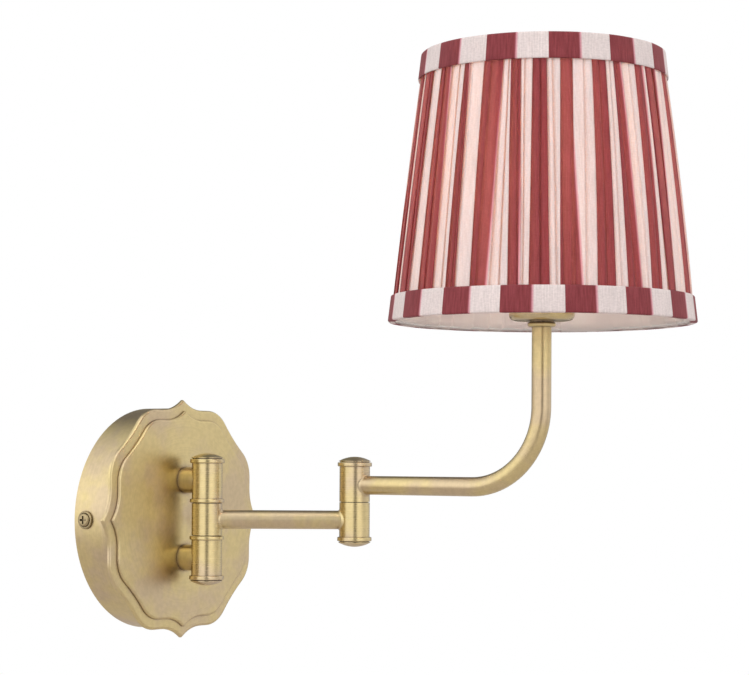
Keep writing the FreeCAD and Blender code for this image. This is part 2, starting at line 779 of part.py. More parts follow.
def lampholder_core():
    """The insulating core that carries the contacts, with two wire holes."""
    low, high = CORE_Z
    x, y = CORE_HOLE
    body = rod(HOLDER_R - HOLDER_WALL - SEAT, STEM + UP * low, high - low)
    holes = [rod(CORE_HOLE_R, STEM + V(side, y, low), high - low) for side in (-x, x)]
    return body.cut(holes)


def lampholder_shell():
    """The upper half of the lampholder, with a coarse thread outside for the shade rings."""
    low = HOLDER_BASE_TOP + SEAT
    root = HOLDER_SHELL_R - THREAD_DEPTH
    inner = HOLDER_R - HOLDER_WALL + SEAT
    falls, climbs, crest = THREAD_RISE
    outline = [(inner, low), (HOLDER_SHELL_R, low)]
    turns = int((HOLDER_TOP - low - 2 * THREAD_PITCH) / THREAD_PITCH)
    for k in range(turns):
        z = low + THREAD_PITCH * (k + 1)
        outline += [
            (HOLDER_SHELL_R, z),
            (root, z + falls),
            (root, z + climbs),
            (HOLDER_SHELL_R, z + crest),
        ]
    mouth = LAMP_CAP_R + 2 * FREE
    outline += [
        (HOLDER_SHELL_R, HOLDER_TOP),
        (mouth, HOLDER_TOP),
        (mouth, HOLDER_TOP - HOLDER_LIP),
        (inner, HOLDER_TOP - HOLDER_LIP),
    ]
    return turned(outline, STEM)


def lampholder_contacts():
    """The centre spring and the side spring that touch the bulb's cap."""
    floor = CORE_Z[1]
    half = CONTACT_WIDTH / 2
    width = (STEM.x - half, STEM.x + half)
    strip_top = floor + CONTACT_THICK
    strip = block(width, (STEM.y - 3 * half, STEM.y + half), (floor + SEAT, strip_top))
    leaf = block(width, (STEM.y - half, STEM.y + half), (strip_top, LAMP_CAP_Z[0] - SEAT))
    side_y = STEM.y - LAMP_CAP_R - 2 * FREE
    side_height = (floor + SEAT, floor + SIDE_CONTACT_HEIGHT)
    side = block(width, (side_y - SIDE_CONTACT_THICK, side_y), side_height)
    return [strip.fuse(leaf).removeSplitter(), side]


def shade_nut(z):
    """One of the two rings that clamp the shade's carrier to the lampholder."""
    body = sleeve(SHADE_NUT_R, HOLDER_SHELL_R + SEAT, STEM + UP * z, SHADE_NUT_THICK)
    grips = []
    for k in range(GRIPS):
        a = 2 * math.pi * k / GRIPS
        place = STEM + V(math.cos(a), math.sin(a), 0) * (SHADE_NUT_R + GRIP_R / 2) + UP * z
        grips.append(rod(GRIP_R, place, SHADE_NUT_THICK))
    return body.cut(grips)


def bulb_cap():
    """The bulb's screw cap, a shell with a rolled thread and a contact at its foot."""
    low, high = LAMP_CAP_Z
    shell_low = low + LAMP_CAP_CONE
    root = LAMP_CAP_R - LAMP_THREAD_DEPTH
    inner = root - LAMP_CAP_WALL
    outline = [
        (0, low),
        (LAMP_CONTACT_R, low),
        (LAMP_CONTACT_R, low + LAMP_CONTACT),
        (root, shell_low),
    ]
    pitch = (high - shell_low) / LAMP_THREADS
    for k in range(LAMP_THREADS):
        z = shell_low + pitch * k
        outline += [
            (root, z + pitch * 0.05),
            ((LAMP_CAP_R, z + pitch * 0.5), (root, z + pitch * 0.95)),
        ]
    outline += [
        (root, high),
        (inner, high),
        (inner, shell_low + LAMP_CAP_WALL),
        (0, shell_low + LAMP_CAP_WALL),
    ]
    return turned(outline, STEM)


def bulb_glass():
    """The round glass envelope on its neck."""
    low = LAMP_CAP_Z[1] + SEAT
    neck_z = BULB_CENTRE_Z - math.sqrt(BULB_R ** 2 - BULB_NECK_R ** 2)
    inner_r = BULB_R - BULB_WALL
    inner_neck = BULB_NECK_R - BULB_WALL
    inner_z = BULB_CENTRE_Z - math.sqrt(inner_r ** 2 - inner_neck ** 2)
    top = BULB_CENTRE_Z + BULB_R
    mouth = LAMP_CAP_R
    outline = [
        (mouth - BULB_WALL, low),
        (mouth, low),
        (BULB_NECK_R, neck_z),
        ((BULB_R, BULB_CENTRE_Z), (0, top)),
        (0, top - BULB_WALL),
        ((inner_r, BULB_CENTRE_Z), (inner_neck, inner_z)),
    ]
    return turned(outline, STEM)


def bulb_filaments():
    """The stem in the bulb and the four light strips on it."""
    foot_z = LAMP_CAP_Z[1] + 2 * SEAT
    made = [rod(LAMP_STEM_R, STEM + UP * foot_z, LAMP_STEM)]
    strip_z = foot_z + LAMP_STEM + BEYOND
    for k in range(LIGHT_STRIPS):
        a = 2 * math.pi * (k + 0.5) / LIGHT_STRIPS
        foot = STEM + V(math.cos(a), math.sin(a), 0) * STRIP_CIRCLE_R + UP * strip_z
        made.append(rod(STRIP_R, foot, STRIP_LENGTH))
    return made


# ---------- shade

def shade_r(inset, z):
    """The shade's radius at a height, a distance inside its bands' outer face."""
    return SHADE_R[0] - SHADE_SLOPE * (z - SHADE_Z[0]) - inset


def shade_wall(inset, thickness, low, high):
    """A tapered wall of the shade."""
    outline = [
        (shade_r(inset + thickness, low), low),
        (shade_r(inset, low), low),
        (shade_r(inset, high), high),
        (shade_r(inset + thickness, high), high),
    ]
    return turned(outline, STEM)


def shade_band(low, high, lip_z):
    """A band round one end of the shade, folded over the edge by a lip."""
    wall = shade_wall(0, BAND_THICK, low, high)
    lip = shade_wall(0, LINING_INSET + LINING_THICK, lip_z, lip_z + BAND_LIP)
    return wall.fuse(lip).removeSplitter()


def frame_ring_level(end):
    """The height of the frame ring at the shade's bottom (0) or top (1)."""
    inward = BAND_LIP + SEAT + FRAME_WIRE_R
    return SHADE_Z[0] + inward if end == 0 else SHADE_Z[1] - inward


def frame_ring(end):
    """The wire ring at one end of the shade."""
    z = frame_ring_level(end)
    return Part.makeTorus(shade_r(FRAME_INSET, z), FRAME_WIRE_R, STEM + UP * z, UP)


def strut_angles(count):
    """Evenly spread directions in plan, starting towards the wall."""
    return [math.radians(90 + 360 / count * k) for k in range(count)]


def frame_struts():
    """The wires between the two rings, cut where they meet them."""
    low, high = frame_ring_level(0), frame_ring_level(1)
    rings = [frame_ring(0), frame_ring(1)]
    made = []
    for a in strut_angles(STRUTS):
        towards = V(math.cos(a), math.sin(a), 0)
        foot = STEM + towards * shade_r(FRAME_INSET, low) + UP * low
        head = STEM + towards * shade_r(FRAME_INSET, high) + UP * high
        made.append(rod(STRUT_WIRE_R, foot, (head - foot).Length, (head - foot).normalize()).cut(rings))
    return made


def carrier_spokes(play):
    """The carrier's three spokes, grown by a play on their width and thickness."""
    start = HOLDER_SHELL_R + CARRIER_RING / 2
    end = shade_r(FRAME_INSET, CARRIER_Z + CARRIER_THICK) - STRUT_WIRE_R - SEAT
    width = SPOKE_WIDTH / 2 + play
    height = (CARRIER_Z - play, CARRIER_Z + CARRIER_THICK + play)
    made = []
    for a in strut_angles(SPOKES):
        spoke = block((start, end), (-width, width), height)
        spoke.rotate(V(0, 0, 0), UP, math.degrees(a))
        made.append(spoke.translated(V(STEM.x, STEM.y, 0)))
    return made


def shade_carrier():
    """The ring that sits on the lampholder, with three spokes out to the struts."""
    foot = STEM + UP * CARRIER_Z
    hub = sleeve(HOLDER_SHELL_R + CARRIER_RING, HOLDER_SHELL_R + SEAT, foot, CARRIER_THICK)
    return hub.fuse(carrier_spokes(0)).removeSplitter()


def shade_lining(low, high):
    """The lining inside the frame, slit where the carrier's spokes pass through it."""
    return shade_wall(LINING_INSET, LINING_THICK, low, high).cut(carrier_spokes(SPOKE_PLAY))


# ---------- flex in the arms

def inner_arm_flex():
    """The flex in the inner arm, from one hinge pin to the other."""
    reach = PIN_R + FLEX_GAP
    return rod(FLEX_R, HUB + INNER_DIR * reach, INNER_LENGTH - 2 * reach, INNER_DIR)


def outer_arm_flex():
    """The flex in the outer arm, from the elbow up to the lampholder."""
    return swept(FLEX_R, outer_arm_path(ELBOW.y - PIN_R - FLEX_GAP, TUBE_TOP_Z))


def make_wall_mount():
    """Everything that stays on the wall."""
    sides = (LEFT, RIGHT)
    posts = (-POST_Z, POST_Z)
    upper_barrel = hub_barrel()
    ring_low, ring_high = HUB_RING
    end_ring = hinge_ring(HUB, HUB_BARREL_TOP, END_RING, CAP_PLUG_R + SEAT)
    mid_ring = hinge_ring(HUB, ring_low, ring_high - ring_low, PIN_R + SEAT)
    washer = sleeve(WASHER_R, PIN_R + SEAT, HUB + UP * (HUB_SWING_TOP + AXIAL), HUB_WASHER)
    spring = sleeve(NUT_R, PIN_R + SEAT, HUB + UP * HUB_WELL, HUB_SPRING)
    nut_z = HUB_WELL + HUB_SPRING
    nut = ring_nut(HUB, nut_z, HUB_PIN_TOP - nut_z, NUT_R)
    cap = hinge_cap(HUB, HUB_PLUG, HUB_BARREL_TOP + END_RING)
    save("wall_bracket", wall_bracket())
    save("bracket_ears", *[bracket_ear(side) for side in sides])
    save("earth_screw", earth_screw())
    save("earth_washer", earth_washer())
    save("terminal_block", terminal_block())
    save("terminal_sleeves", *terminal_sleeves())
    save("terminal_screws", *terminal_screws())
    save("base_flex", base_flex())
    save("backplate_drum", backplate_drum())
    save("scalloped_plate", scalloped_sheet(PLATE_TIP_R, DRUM_DEPTH, PLATE_FRONT, PLATE_ROUND))
    save("scalloped_panel", scalloped_sheet(PANEL_TIP_R, PLATE_FRONT, PANEL_FRONT, PANEL_ROUND))
    save("side_screws", *[side_screw(side) for side in sides])
    save("side_screw_collars", *[side_collar(side) for side in sides])
    save("post_bottom", hub_post(posts[0]))
    save("post_top", hub_post(posts[1]))
    save("post_washers", *[post_washer(z) for z in posts])
    save("post_nuts", *[post_nut(z) for z in posts])
    save("hub_barrel_top", upper_barrel)
    save("hub_barrel_bottom", upside_down(upper_barrel))
    save("hub_pin", hub_pin())
    save("hub_pin_nuts", nut, upside_down(nut))
    save("hub_spring_washers", spring, upside_down(spring))
    save("hub_friction_washers", washer, upside_down(washer))
    save("hub_ring_upper", mid_ring)
    save("hub_ring_lower", upside_down(mid_ring))
    save("hub_end_ring_top", end_ring)
    save("hub_end_ring_bottom", upside_down(end_ring))
    save("hub_cap_top", cap)
    save("hub_cap_bottom", upside_down(cap))


def make_inner_arm():
    """Everything that swings with the inner arm."""
    nut = ring_nut(ELBOW, ELBOW_NUT_BOTTOM, ELBOW_PIN_TOP - ELBOW_NUT_BOTTOM, NUT_R)
    ledge = ELBOW + UP * (ELBOW_LEDGE + AXIAL)
    washer = sleeve(NUT_R, PIN_R + SEAT, ledge, ELBOW_LEDGE_WASHER)
    bottom_nut = sleeve(NUT_R, PIN_R + SEAT, ELBOW + UP * (ELBOW_LOWER_WELL - ELBOW_NUT), ELBOW_NUT)
    seam_washer = sleeve(WASHER_R, PIN_R + SEAT, ELBOW + UP * ELBOW_SEAM, ELBOW_WASHER)
    ring_z = ELBOW_BOTTOM - END_RING
    flipped_cap = upside_down(hinge_cap(ELBOW, 0, END_RING))
    save("swing_barrel", swing_barrel())
    save("inner_arm_tube", inner_arm_tube())
    save("elbow_barrel_lower", elbow_lower_barrel())
    save("elbow_pin", elbow_pin())
    save("elbow_pin_nuts", nut, bottom_nut)
    save("elbow_friction_washers", seam_washer, washer)
    save("elbow_ring_bottom", hinge_ring(ELBOW, ring_z, END_RING, CAP_PLUG_R + SEAT))
    save("elbow_cap_bottom", flipped_cap.translated(UP * ELBOW_BOTTOM))
    save("inner_arm_flex", inner_arm_flex())


def make_outer_arm():
    """Everything that swings with the outer arm: the arm, the lampholder, the bulb and the shade."""
    low, high = SHADE_Z
    inner_low, inner_high = low + BAND_LIP + SEAT, high - BAND_LIP - SEAT
    save("elbow_barrel_upper", elbow_upper_barrel())
    save("elbow_ring_top", hinge_ring(ELBOW, ELBOW_TOP, END_RING, CAP_PLUG_R + SEAT))
    save("elbow_cap_top", hinge_cap(ELBOW, ELBOW_PLUG, ELBOW_TOP + END_RING))
    save("outer_arm_tube", outer_arm_tube())
    save("outer_arm_flex", outer_arm_flex())
    save("stem_collar", stem_collar())
    save("dish", dish())
    save("lampholder_base", lampholder_base())
    save("lampholder_core", lampholder_core())
    save("lampholder_shell", lampholder_shell())
    save("lampholder_contacts", *lampholder_contacts())
    save("shade_nuts", shade_nut(CARRIER_Z - SHADE_NUT_THICK), shade_nut(CARRIER_Z + CARRIER_THICK))
    save("bulb_cap", bulb_cap())
    save("bulb_glass", bulb_glass())
    save("bulb_filaments", *bulb_filaments())
    save("shade_carrier", shade_carrier())
    save("frame_rings", frame_ring(0), frame_ring(1))
    save("frame_struts", *frame_struts())
    save("shade_cover", shade_wall(COVER_INSET, COVER_THICK, inner_low, inner_high))
    save("shade_lining", shade_lining(inner_low, inner_high))
    save("shade_band_bottom", shade_band(low, low + BAND_HEIGHT, low))
    save("shade_band_top", shade_band(high - BAND_HEIGHT, high, high - BAND_LIP))


os.makedirs("parts", exist_ok=True)
make_wall_mount()
make_inner_arm()
make_outer_arm()
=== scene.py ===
"""The looks of the swing arm wall light: brushed brass, a gathered striped shade and its lining.

Everything is in metres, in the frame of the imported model. The wall is the plane y = 0, the light
stands out towards -Y, +X is to the right for someone who faces the wall, and +Z is up.
"""

import math
import random

import bpy
from mathutils import Matrix, Vector


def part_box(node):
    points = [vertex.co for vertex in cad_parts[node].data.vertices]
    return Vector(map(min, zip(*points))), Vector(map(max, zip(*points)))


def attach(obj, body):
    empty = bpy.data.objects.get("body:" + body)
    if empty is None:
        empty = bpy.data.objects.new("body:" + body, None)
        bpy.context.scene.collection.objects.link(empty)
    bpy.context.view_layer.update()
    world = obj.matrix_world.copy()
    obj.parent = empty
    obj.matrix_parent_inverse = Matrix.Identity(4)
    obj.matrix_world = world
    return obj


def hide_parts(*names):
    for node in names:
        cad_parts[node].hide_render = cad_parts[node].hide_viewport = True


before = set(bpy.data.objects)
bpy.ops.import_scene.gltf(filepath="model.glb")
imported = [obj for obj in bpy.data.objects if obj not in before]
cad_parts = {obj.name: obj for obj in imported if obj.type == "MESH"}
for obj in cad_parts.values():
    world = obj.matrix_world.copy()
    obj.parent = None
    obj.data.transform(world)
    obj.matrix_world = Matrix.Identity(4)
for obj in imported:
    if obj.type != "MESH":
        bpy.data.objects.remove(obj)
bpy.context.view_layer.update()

MM = 0.001

# Camera
CAMERA_PLACE = (-0.8880, -0.7655, 0.0308)
CAMERA_RIGHT = (0.57538, -0.81786, 0.00656)
CAMERA_UP = (-0.02325, -0.00834, 0.99969)
CAMERA_LENS = 102.69
CAMERA_SHIFT = (0.0185, 0.0991)

# Cloth: alternating red and cream stripes, cut across for the cover and for the two bands
STRIPE = 15.5 * MM
SEAM_ANGLE = math.radians(11)
BOTTOM_BAND_EDGE = math.radians(206.9)    # where a red stripe ends and a cream one starts
TOP_BAND_EDGE = math.radians(226.9)

# Colours, scene linear
RED = (0.300, 0.060, 0.070)
RED_DEEP = (0.215, 0.036, 0.042)
CREAM = (0.86, 0.76, 0.735)
PINK = (0.74, 0.30, 0.36)
CREAM_THROUGH = (1.0, 0.53, 0.28)
RED_THROUGH = (1.0, 0.36, 0.30)
LINING = (0.96, 0.93, 0.91)
LINING_SLUB = (0.91, 0.87, 0.84)
LINING_THROUGH = (0.95, 0.90, 0.85)
BRASS = (0.68, 0.555, 0.280)
BRASS_ROSY = (0.60, 0.475, 0.325)
# Tarnish and oxide colours for the brass's corners and joints: partly the aged finish's patina, partly
# painted shade.
BRASS_TARNISH_AND_SHADE = (0.40, 0.30, 0.235)
BRASS_OXIDE_AND_SHADE = (0.085, 0.062, 0.055)
BRUSH_MARKS = 2600.0        # brush marks in a metre, counted across them
BULB_STRENGTH = 9.5

# Cover: knife folds, the cloth that they take and how they vary
FOLDS = 108
CLOTH_LENGTH = 54 * STRIPE
COVER_SEED = 5
ROWS = 46
CLOTH_DRIFT = 3.6 * MM
ANGLE_DRIFT = math.radians(1.5)
SHOWS_FIRST = (0.45, 1.0)       # how freely the run from an edge's fold to the stripe's own fold shows
SHOWS_SECOND = (0.75, 1.42)     # and the run from there to the next edge's fold

# Places of the shade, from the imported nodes
STEM_LOW, STEM_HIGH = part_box("stem_collar")
STEM = Vector(((STEM_LOW[0] + STEM_HIGH[0]) / 2, (STEM_LOW[1] + STEM_HIGH[1]) / 2, 0))
BAND_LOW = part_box("shade_band_bottom")
BAND_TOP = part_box("shade_band_top")
SHADE_BOTTOM = BAND_LOW[0][2]
SHADE_TOP = BAND_TOP[1][2]
BAND_HEIGHT = BAND_LOW[1][2] - BAND_LOW[0][2]
BOTTOM_R = (BAND_LOW[1][0] - BAND_LOW[0][0]) / 2
TOP_BAND_FOOT_R = (BAND_TOP[1][0] - BAND_TOP[0][0]) / 2
SLOPE = (BOTTOM_R - TOP_BAND_FOOT_R) / (SHADE_TOP - BAND_HEIGHT - SHADE_BOTTOM)

# Places of the two arms' tubes
ARM_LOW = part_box("outer_arm_tube")[0]
HUB_LOW, HUB_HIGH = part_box("swing_barrel")
ELBOW_LOW, ELBOW_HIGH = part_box("elbow_barrel_upper")
TUBE_R = 5.0 * MM
BEND_R = 41 * MM
BEND_CENTRE = Vector((STEM.x, STEM.y + BEND_R, ARM_LOW[2] + TUBE_R + BEND_R))
INNER_RUN = (Vector((ELBOW_LOW[0] + ELBOW_HIGH[0], ELBOW_LOW[1] + ELBOW_HIGH[1], 0))
             - Vector((HUB_LOW[0] + HUB_HIGH[0], HUB_LOW[1] + HUB_HIGH[1], 0))).normalized()


def shade_r(z):
    """The radius of the bands' outer face at a height."""
    return BOTTOM_R - SLOPE * (z - SHADE_BOTTOM)


# ---------- node helpers

def node(tree, kind, inputs=None, **settings):
    """Adds a node. Each input is a value for its socket, or another node's output to join to it."""
    made = tree.nodes.new(kind)
    for key, value in settings.items():
        setattr(made, key, value)
    for key, value in (inputs or {}).items():
        if isinstance(value, bpy.types.NodeSocket):
            tree.links.new(value, made.inputs[key])
        else:
            made.inputs[key].default_value = value
    return made


def calc(tree, operation, a, b=0.0, clamp=False):
    """A sum, product or other operation on two numbers."""
    return node(tree, "ShaderNodeMath", {0: a, 1: b}, operation=operation, use_clamp=clamp).outputs[0]


def spread(tree, value, low, high, to_low=0.0, to_high=1.0, smooth=True):
    """Maps a value between two limits to another pair of limits."""
    kind = "SMOOTHSTEP" if smooth else "LINEAR"
    inputs = {0: value, 1: low, 2: high, 3: to_low, 4: to_high}
    return node(tree, "ShaderNodeMapRange", inputs, interpolation_type=kind).outputs[0]


def blend_colour(tree, factor, a, b, kind="MIX"):
    """Mixes two colours, each a socket or three numbers."""
    mixer = tree.nodes.new("ShaderNodeMix")
    mixer.data_type = "RGBA"
    mixer.blend_type = kind
    for socket, value in ((mixer.inputs[0], factor), (mixer.inputs[6], a), (mixer.inputs[7], b)):
        if isinstance(value, bpy.types.NodeSocket):
            tree.links.new(value, socket)
        elif isinstance(value, tuple):
            socket.default_value = (*value, 1.0)
        else:
            socket.default_value = value
    return mixer.outputs[2]


def noise(tree, vector, scale, detail=3.0, rough=0.5):
    """A noise value."""
    inputs = {"Vector": vector, "Scale": scale, "Detail": detail, "Roughness": rough}
    return node(tree, "ShaderNodeTexNoise", inputs).outputs[0]


def stretched(tree, vector, scale):
    """A vector scaled on each axis."""
    return node(tree, "ShaderNodeMapping", {"Vector": vector, "Scale": scale}).outputs[0]


def bump(tree, height, strength, distance):
    """A normal bent by a height."""
    inputs = {"Height": height, "Strength": strength, "Distance": distance}
    return node(tree, "ShaderNodeBump", inputs).outputs[0]


def grey(tree, value):
    """A grey colour of a value."""
    return node(tree, "ShaderNodeCombineColor", {0: value, 1: value, 2: value}).outputs[0]


def shaded(tree, tone, value):
    """A colour made darker or lighter by a value near 1."""
    return blend_colour(tree, 1.0, tone, grey(tree, value), "MULTIPLY")


def openness(tree, distance):
    """How open a place is: 1 on open faces, and less in corners within the distance."""
    return node(tree, "ShaderNodeAmbientOcclusion", {"Distance": distance}, samples=8).outputs["AO"]


def new_material(name):
    """An empty node material, its tree and its output."""
    material = bpy.data.materials.new(name)
    material.use_nodes = True
    tree = material.node_tree
    tree.nodes.clear()
    output = tree.nodes.new("ShaderNodeOutputMaterial")
    return material, tree, output


def object_place(tree):
    """The place in the piece's own frame, in metres."""
    return node(tree, "ShaderNodeTexCoord").outputs["Object"]


# ---------- metals

def grain_coordinates(tree, grain):
    """Coordinates in which noise makes brush marks: rings about Y, or lines along a stretch."""
    place = object_place(tree)
    if grain != "rings":
        return stretched(tree, place, grain)
    parts = node(tree, "ShaderNodeSeparateXYZ", {0: place})
    x, z = parts.outputs[0], parts.outputs[2]
    square = calc(tree, "ADD", calc(tree, "MULTIPLY", x, x), calc(tree, "MULTIPLY", z, z))
    radius = calc(tree, "MULTIPLY", calc(tree, "SQRT", square), BRUSH_MARKS)
    angle = calc(tree, "MULTIPLY", calc(tree, "ARCTAN2", z, x), 0.9)
    return node(tree, "ShaderNodeCombineXYZ", {0: radius, 1: angle, 2: 0.0}).outputs[0]


def along_tube(tree, bend_centre):
    """A tube's direction and the length along it: straight, or level, round a bend and up."""
    place = object_place(tree)
    if bend_centre is None:
        inputs = {0: INNER_RUN.x, 1: INNER_RUN.y, 2: 0.0}
        run = node(tree, "ShaderNodeCombineXYZ", inputs).outputs[0]
        dot = node(tree, "ShaderNodeVectorMath", {0: place, 1: run}, operation="DOT_PRODUCT")
        return run, dot.outputs["Value"]
    parts = node(tree, "ShaderNodeSeparateXYZ", {0: place})
    level = calc(tree, "SUBTRACT", parts.outputs[1], bend_centre.y)
    upright = calc(tree, "SUBTRACT", parts.outputs[2], bend_centre.z)
    towards_stem = calc(tree, "MULTIPLY", calc(tree, "MINIMUM", level, -1e-5), -1.0)
    below = calc(tree, "MINIMUM", upright, -1e-5)
    run = node(tree, "ShaderNodeCombineXYZ", {0: 0.0, 1: below, 2: towards_stem}).outputs[0]
    turn = calc(tree, "ARCTAN2", towards_stem, calc(tree, "MULTIPLY", below, -1.0))
    length = calc(tree, "MULTIPLY", turn, BEND_R)
    length = calc(tree, "ADD", length, calc(tree, "MAXIMUM", upright, 0.0))
    length = calc(tree, "SUBTRACT", length, calc(tree, "MAXIMUM", level, 0.0))
    return run, length


def round_tube(tree, run):
    """The direction round a tube that runs along run."""
    world_run = node(tree, "ShaderNodeVectorTransform", {0: run},
                     vector_type="VECTOR", convert_from="OBJECT", convert_to="WORLD").outputs[0]
    facing = node(tree, "ShaderNodeNewGeometry").outputs["Normal"]
    inputs = {0: world_run, 1: facing}
    return node(tree, "ShaderNodeVectorMath", inputs, operation="CROSS_PRODUCT").outputs[0]


def antique_brass(name, grain, anisotropy, roughness, axis=None, bend_centre=None):
    """Brushed brass under an aged lacquer: brush marks, warm drifts of colour, and oxide with painted
    shade in the corners.

    grain is "tube" for a tube, "rings" for a face turned about Y, or else the stretch of the marks
    on a piece turned about an axis.
    """
    material, tree, output = new_material(name)
    if grain == "tube":
        run, length = along_tube(tree, bend_centre)
        around = round_tube(tree, run)
        marks_along = calc(tree, "MULTIPLY", length, BRUSH_MARKS)
        grain_place = node(tree, "ShaderNodeCombineXYZ", {0: marks_along}).outputs[0]
    else:
        around = node(tree, "ShaderNodeTangent", direction_type="RADIAL", axis=axis).outputs[0]
        grain_place = grain_coordinates(tree, grain)
    place = object_place(tree)
    marks = noise(tree, grain_place, 1.0, 4.0, 0.62)
    drift = noise(tree, place, 34.0, 3.0, 0.55)
    mottle = noise(tree, place, 420.0, 2.0, 0.5)
    # Oxide and tarnish come in where an occlusion test finds the brass closed in, at corners, joints and
    # steps: partly patina, partly painted shade.
    corner = openness(tree, 4.5 * MM)
    oxide_and_shade = spread(tree, corner, 0.24, 0.76, 0.90, 0.0)
    patches = spread(tree, drift, 0.3, 0.7, 0.5, 1.0)
    tarnish_and_shade = calc(tree, "MULTIPLY", spread(tree, corner, 0.45, 0.97, 0.85, 0.0), patches)
    tone = blend_colour(tree, spread(tree, drift, 0.42, 0.62, 0.0, 0.75), BRASS, BRASS_ROSY)
    tone = shaded(tree, tone, spread(tree, marks, 0.30, 0.70, 0.93, 1.06, smooth=False))
    tone = shaded(tree, tone, spread(tree, mottle, 0.3, 0.7, 0.96, 1.04))
    # Painted shade together with the patina: the tarnish and oxide colours laid on in the closed-in
    # places.
    tone = blend_colour(tree, tarnish_and_shade, tone, BRASS_TARNISH_AND_SHADE)
    tone = blend_colour(tree, oxide_and_shade, tone, BRASS_OXIDE_AND_SHADE)
    polish = spread(tree, marks, 0.3, 0.7, roughness - 0.04, roughness + 0.04)
    rough = calc(tree, "ADD", polish, calc(tree, "MULTIPLY", oxide_and_shade, 0.2))
    surface = node(tree, "ShaderNodeBsdfPrincipled", {
        "Base Color": tone,
        "Roughness": rough,
        "Metallic": 1.0,
        "Anisotropic": anisotropy,
        "Anisotropic Rotation": 0.25,
        "Coat Weight": 0.06,
        "Coat Roughness": 0.28,
        "Normal": bump(tree, marks, 0.08, 0.02 * MM),
        "Tangent": around,
    })
    tree.links.new(surface.outputs[0], output.inputs[0])
    return material


def plain_metal(name, colour, dark, roughness, scale):
    """A plated or turned small part, with fine marks and painted shade in its corners."""
    material, tree, output = new_material(name)
    place = object_place(tree)
    marks = noise(tree, stretched(tree, place, (900.0, 900.0, 900.0)), scale, 4.0, 0.6)
    drift = noise(tree, place, 60.0)
    corner = openness(tree, 1.6 * MM)
    tone = blend_colour(tree, spread(tree, drift, 0.35, 0.65, 0.0, 0.5), colour, dark)
    # Painted shade: the colour goes towards the dark tone where an occlusion test finds the corners
    # closed in.
    tone = blend_colour(tree, spread(tree, corner, 0.35, 0.9, 0.8, 0.0), tone, dark)
    surface = node(tree, "ShaderNodeBsdfPrincipled", {
        "Base Color": tone,
        "Roughness": spread(tree, marks, 0.3, 0.7, roughness - 0.07, roughness + 0.07),
        "Metallic": 1.0,
        "Normal": bump(tree, marks, 0.15, 0.02 * MM),
    })
    tree.links.new(surface.outputs[0], output.inputs[0])
    return material


# ---------- plastics, wire and glass

def moulded_plastic(name, colour, drift_and_shade_tone, roughness):
    """A moulded part with a faint grain, drifts of tone, and painted shade that makes its corners
    slightly darker.
    """
    material, tree, output = new_material(name)
    place = object_place(tree)
    grain = noise(tree, place, 2400.0, 2.0)
    drift = noise(tree, place, 45.0)
    corner = openness(tree, 2.0 * MM)
    tone = blend_colour(tree, spread(tree, drift, 0.35, 0.65, 0.0, 0.35), colour, drift_and_shade_tone)
    # Painted shade: the colour goes towards the darker tone where an occlusion test finds the corners
    # closed in.
    tone = blend_colour(tree, spread(tree, corner, 0.4, 0.95, 0.5, 0.0), tone, drift_and_shade_tone)
    surface = node(tree, "ShaderNodeBsdfPrincipled", {
        "Base Color": tone,
        "Roughness": spread(tree, grain, 0.3, 0.7, roughness - 0.06, roughness + 0.06),
        "Normal": bump(tree, grain, 0.1, 0.02 * MM),
    })
    tree.links.new(surface.outputs[0], output.inputs[0])
    return material


def lit_glass(name):
    """The opal bulb, alight: warm, and a little brighter towards its neck."""
    material, tree, output = new_material(name)
    place = object_place(tree)
    height = node(tree, "ShaderNodeSeparateXYZ", {0: place}).outputs[2]
    low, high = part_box("bulb_glass")
    glow = spread(tree, height, low[2], high[2], 1.0, 0.72)
    cloud = spread(tree, noise(tree, place, 90.0), 0.3, 0.7, 0.92, 1.06)
    strength = calc(tree, "MULTIPLY", calc(tree, "MULTIPLY", glow, cloud), BULB_STRENGTH)
    surface = node(tree, "ShaderNodeBsdfPrincipled", {
        "Base Color": (0.92, 0.86, 0.76, 1.0),
        "Roughness": 0.25,
        "Emission Color": (1.0, 0.90, 0.80, 1.0),
        "Emission Strength": strength,
    })
    tree.links.new(surface.outputs[0], output.inputs[0])
    return material


# ---------- cloth

def stripes(tree, along):
    """How red a place is (1 or 0), and how near it is to the pink line on a stripe's right edge."""
    pair = calc(tree, "DIVIDE", along, 2 * STRIPE)
    part = calc(tree, "FRACT", pair)
    edge = 0.12 * MM / STRIPE
    rise = spread(tree, part, 0.0, edge)
    fall = spread(tree, part, 0.5 - edge, 0.5, 1.0, 0.0)
    red = calc(tree, "MULTIPLY", rise, fall)
    away = calc(tree, "ABSOLUTE", calc(tree, "SUBTRACT", part, 0.5 + 0.3 * edge))
    line = spread(tree, away, 0.0, 4.2 * edge, 0.85, 0.0)
    return red, line


def threads(tree, along, pitch):
    """A ridge for each thread, from 0 between threads to 1 on their crowns."""
    return calc(tree, "ABSOLUTE", calc(tree, "SINE", calc(tree, "MULTIPLY", along, math.pi / pitch)))


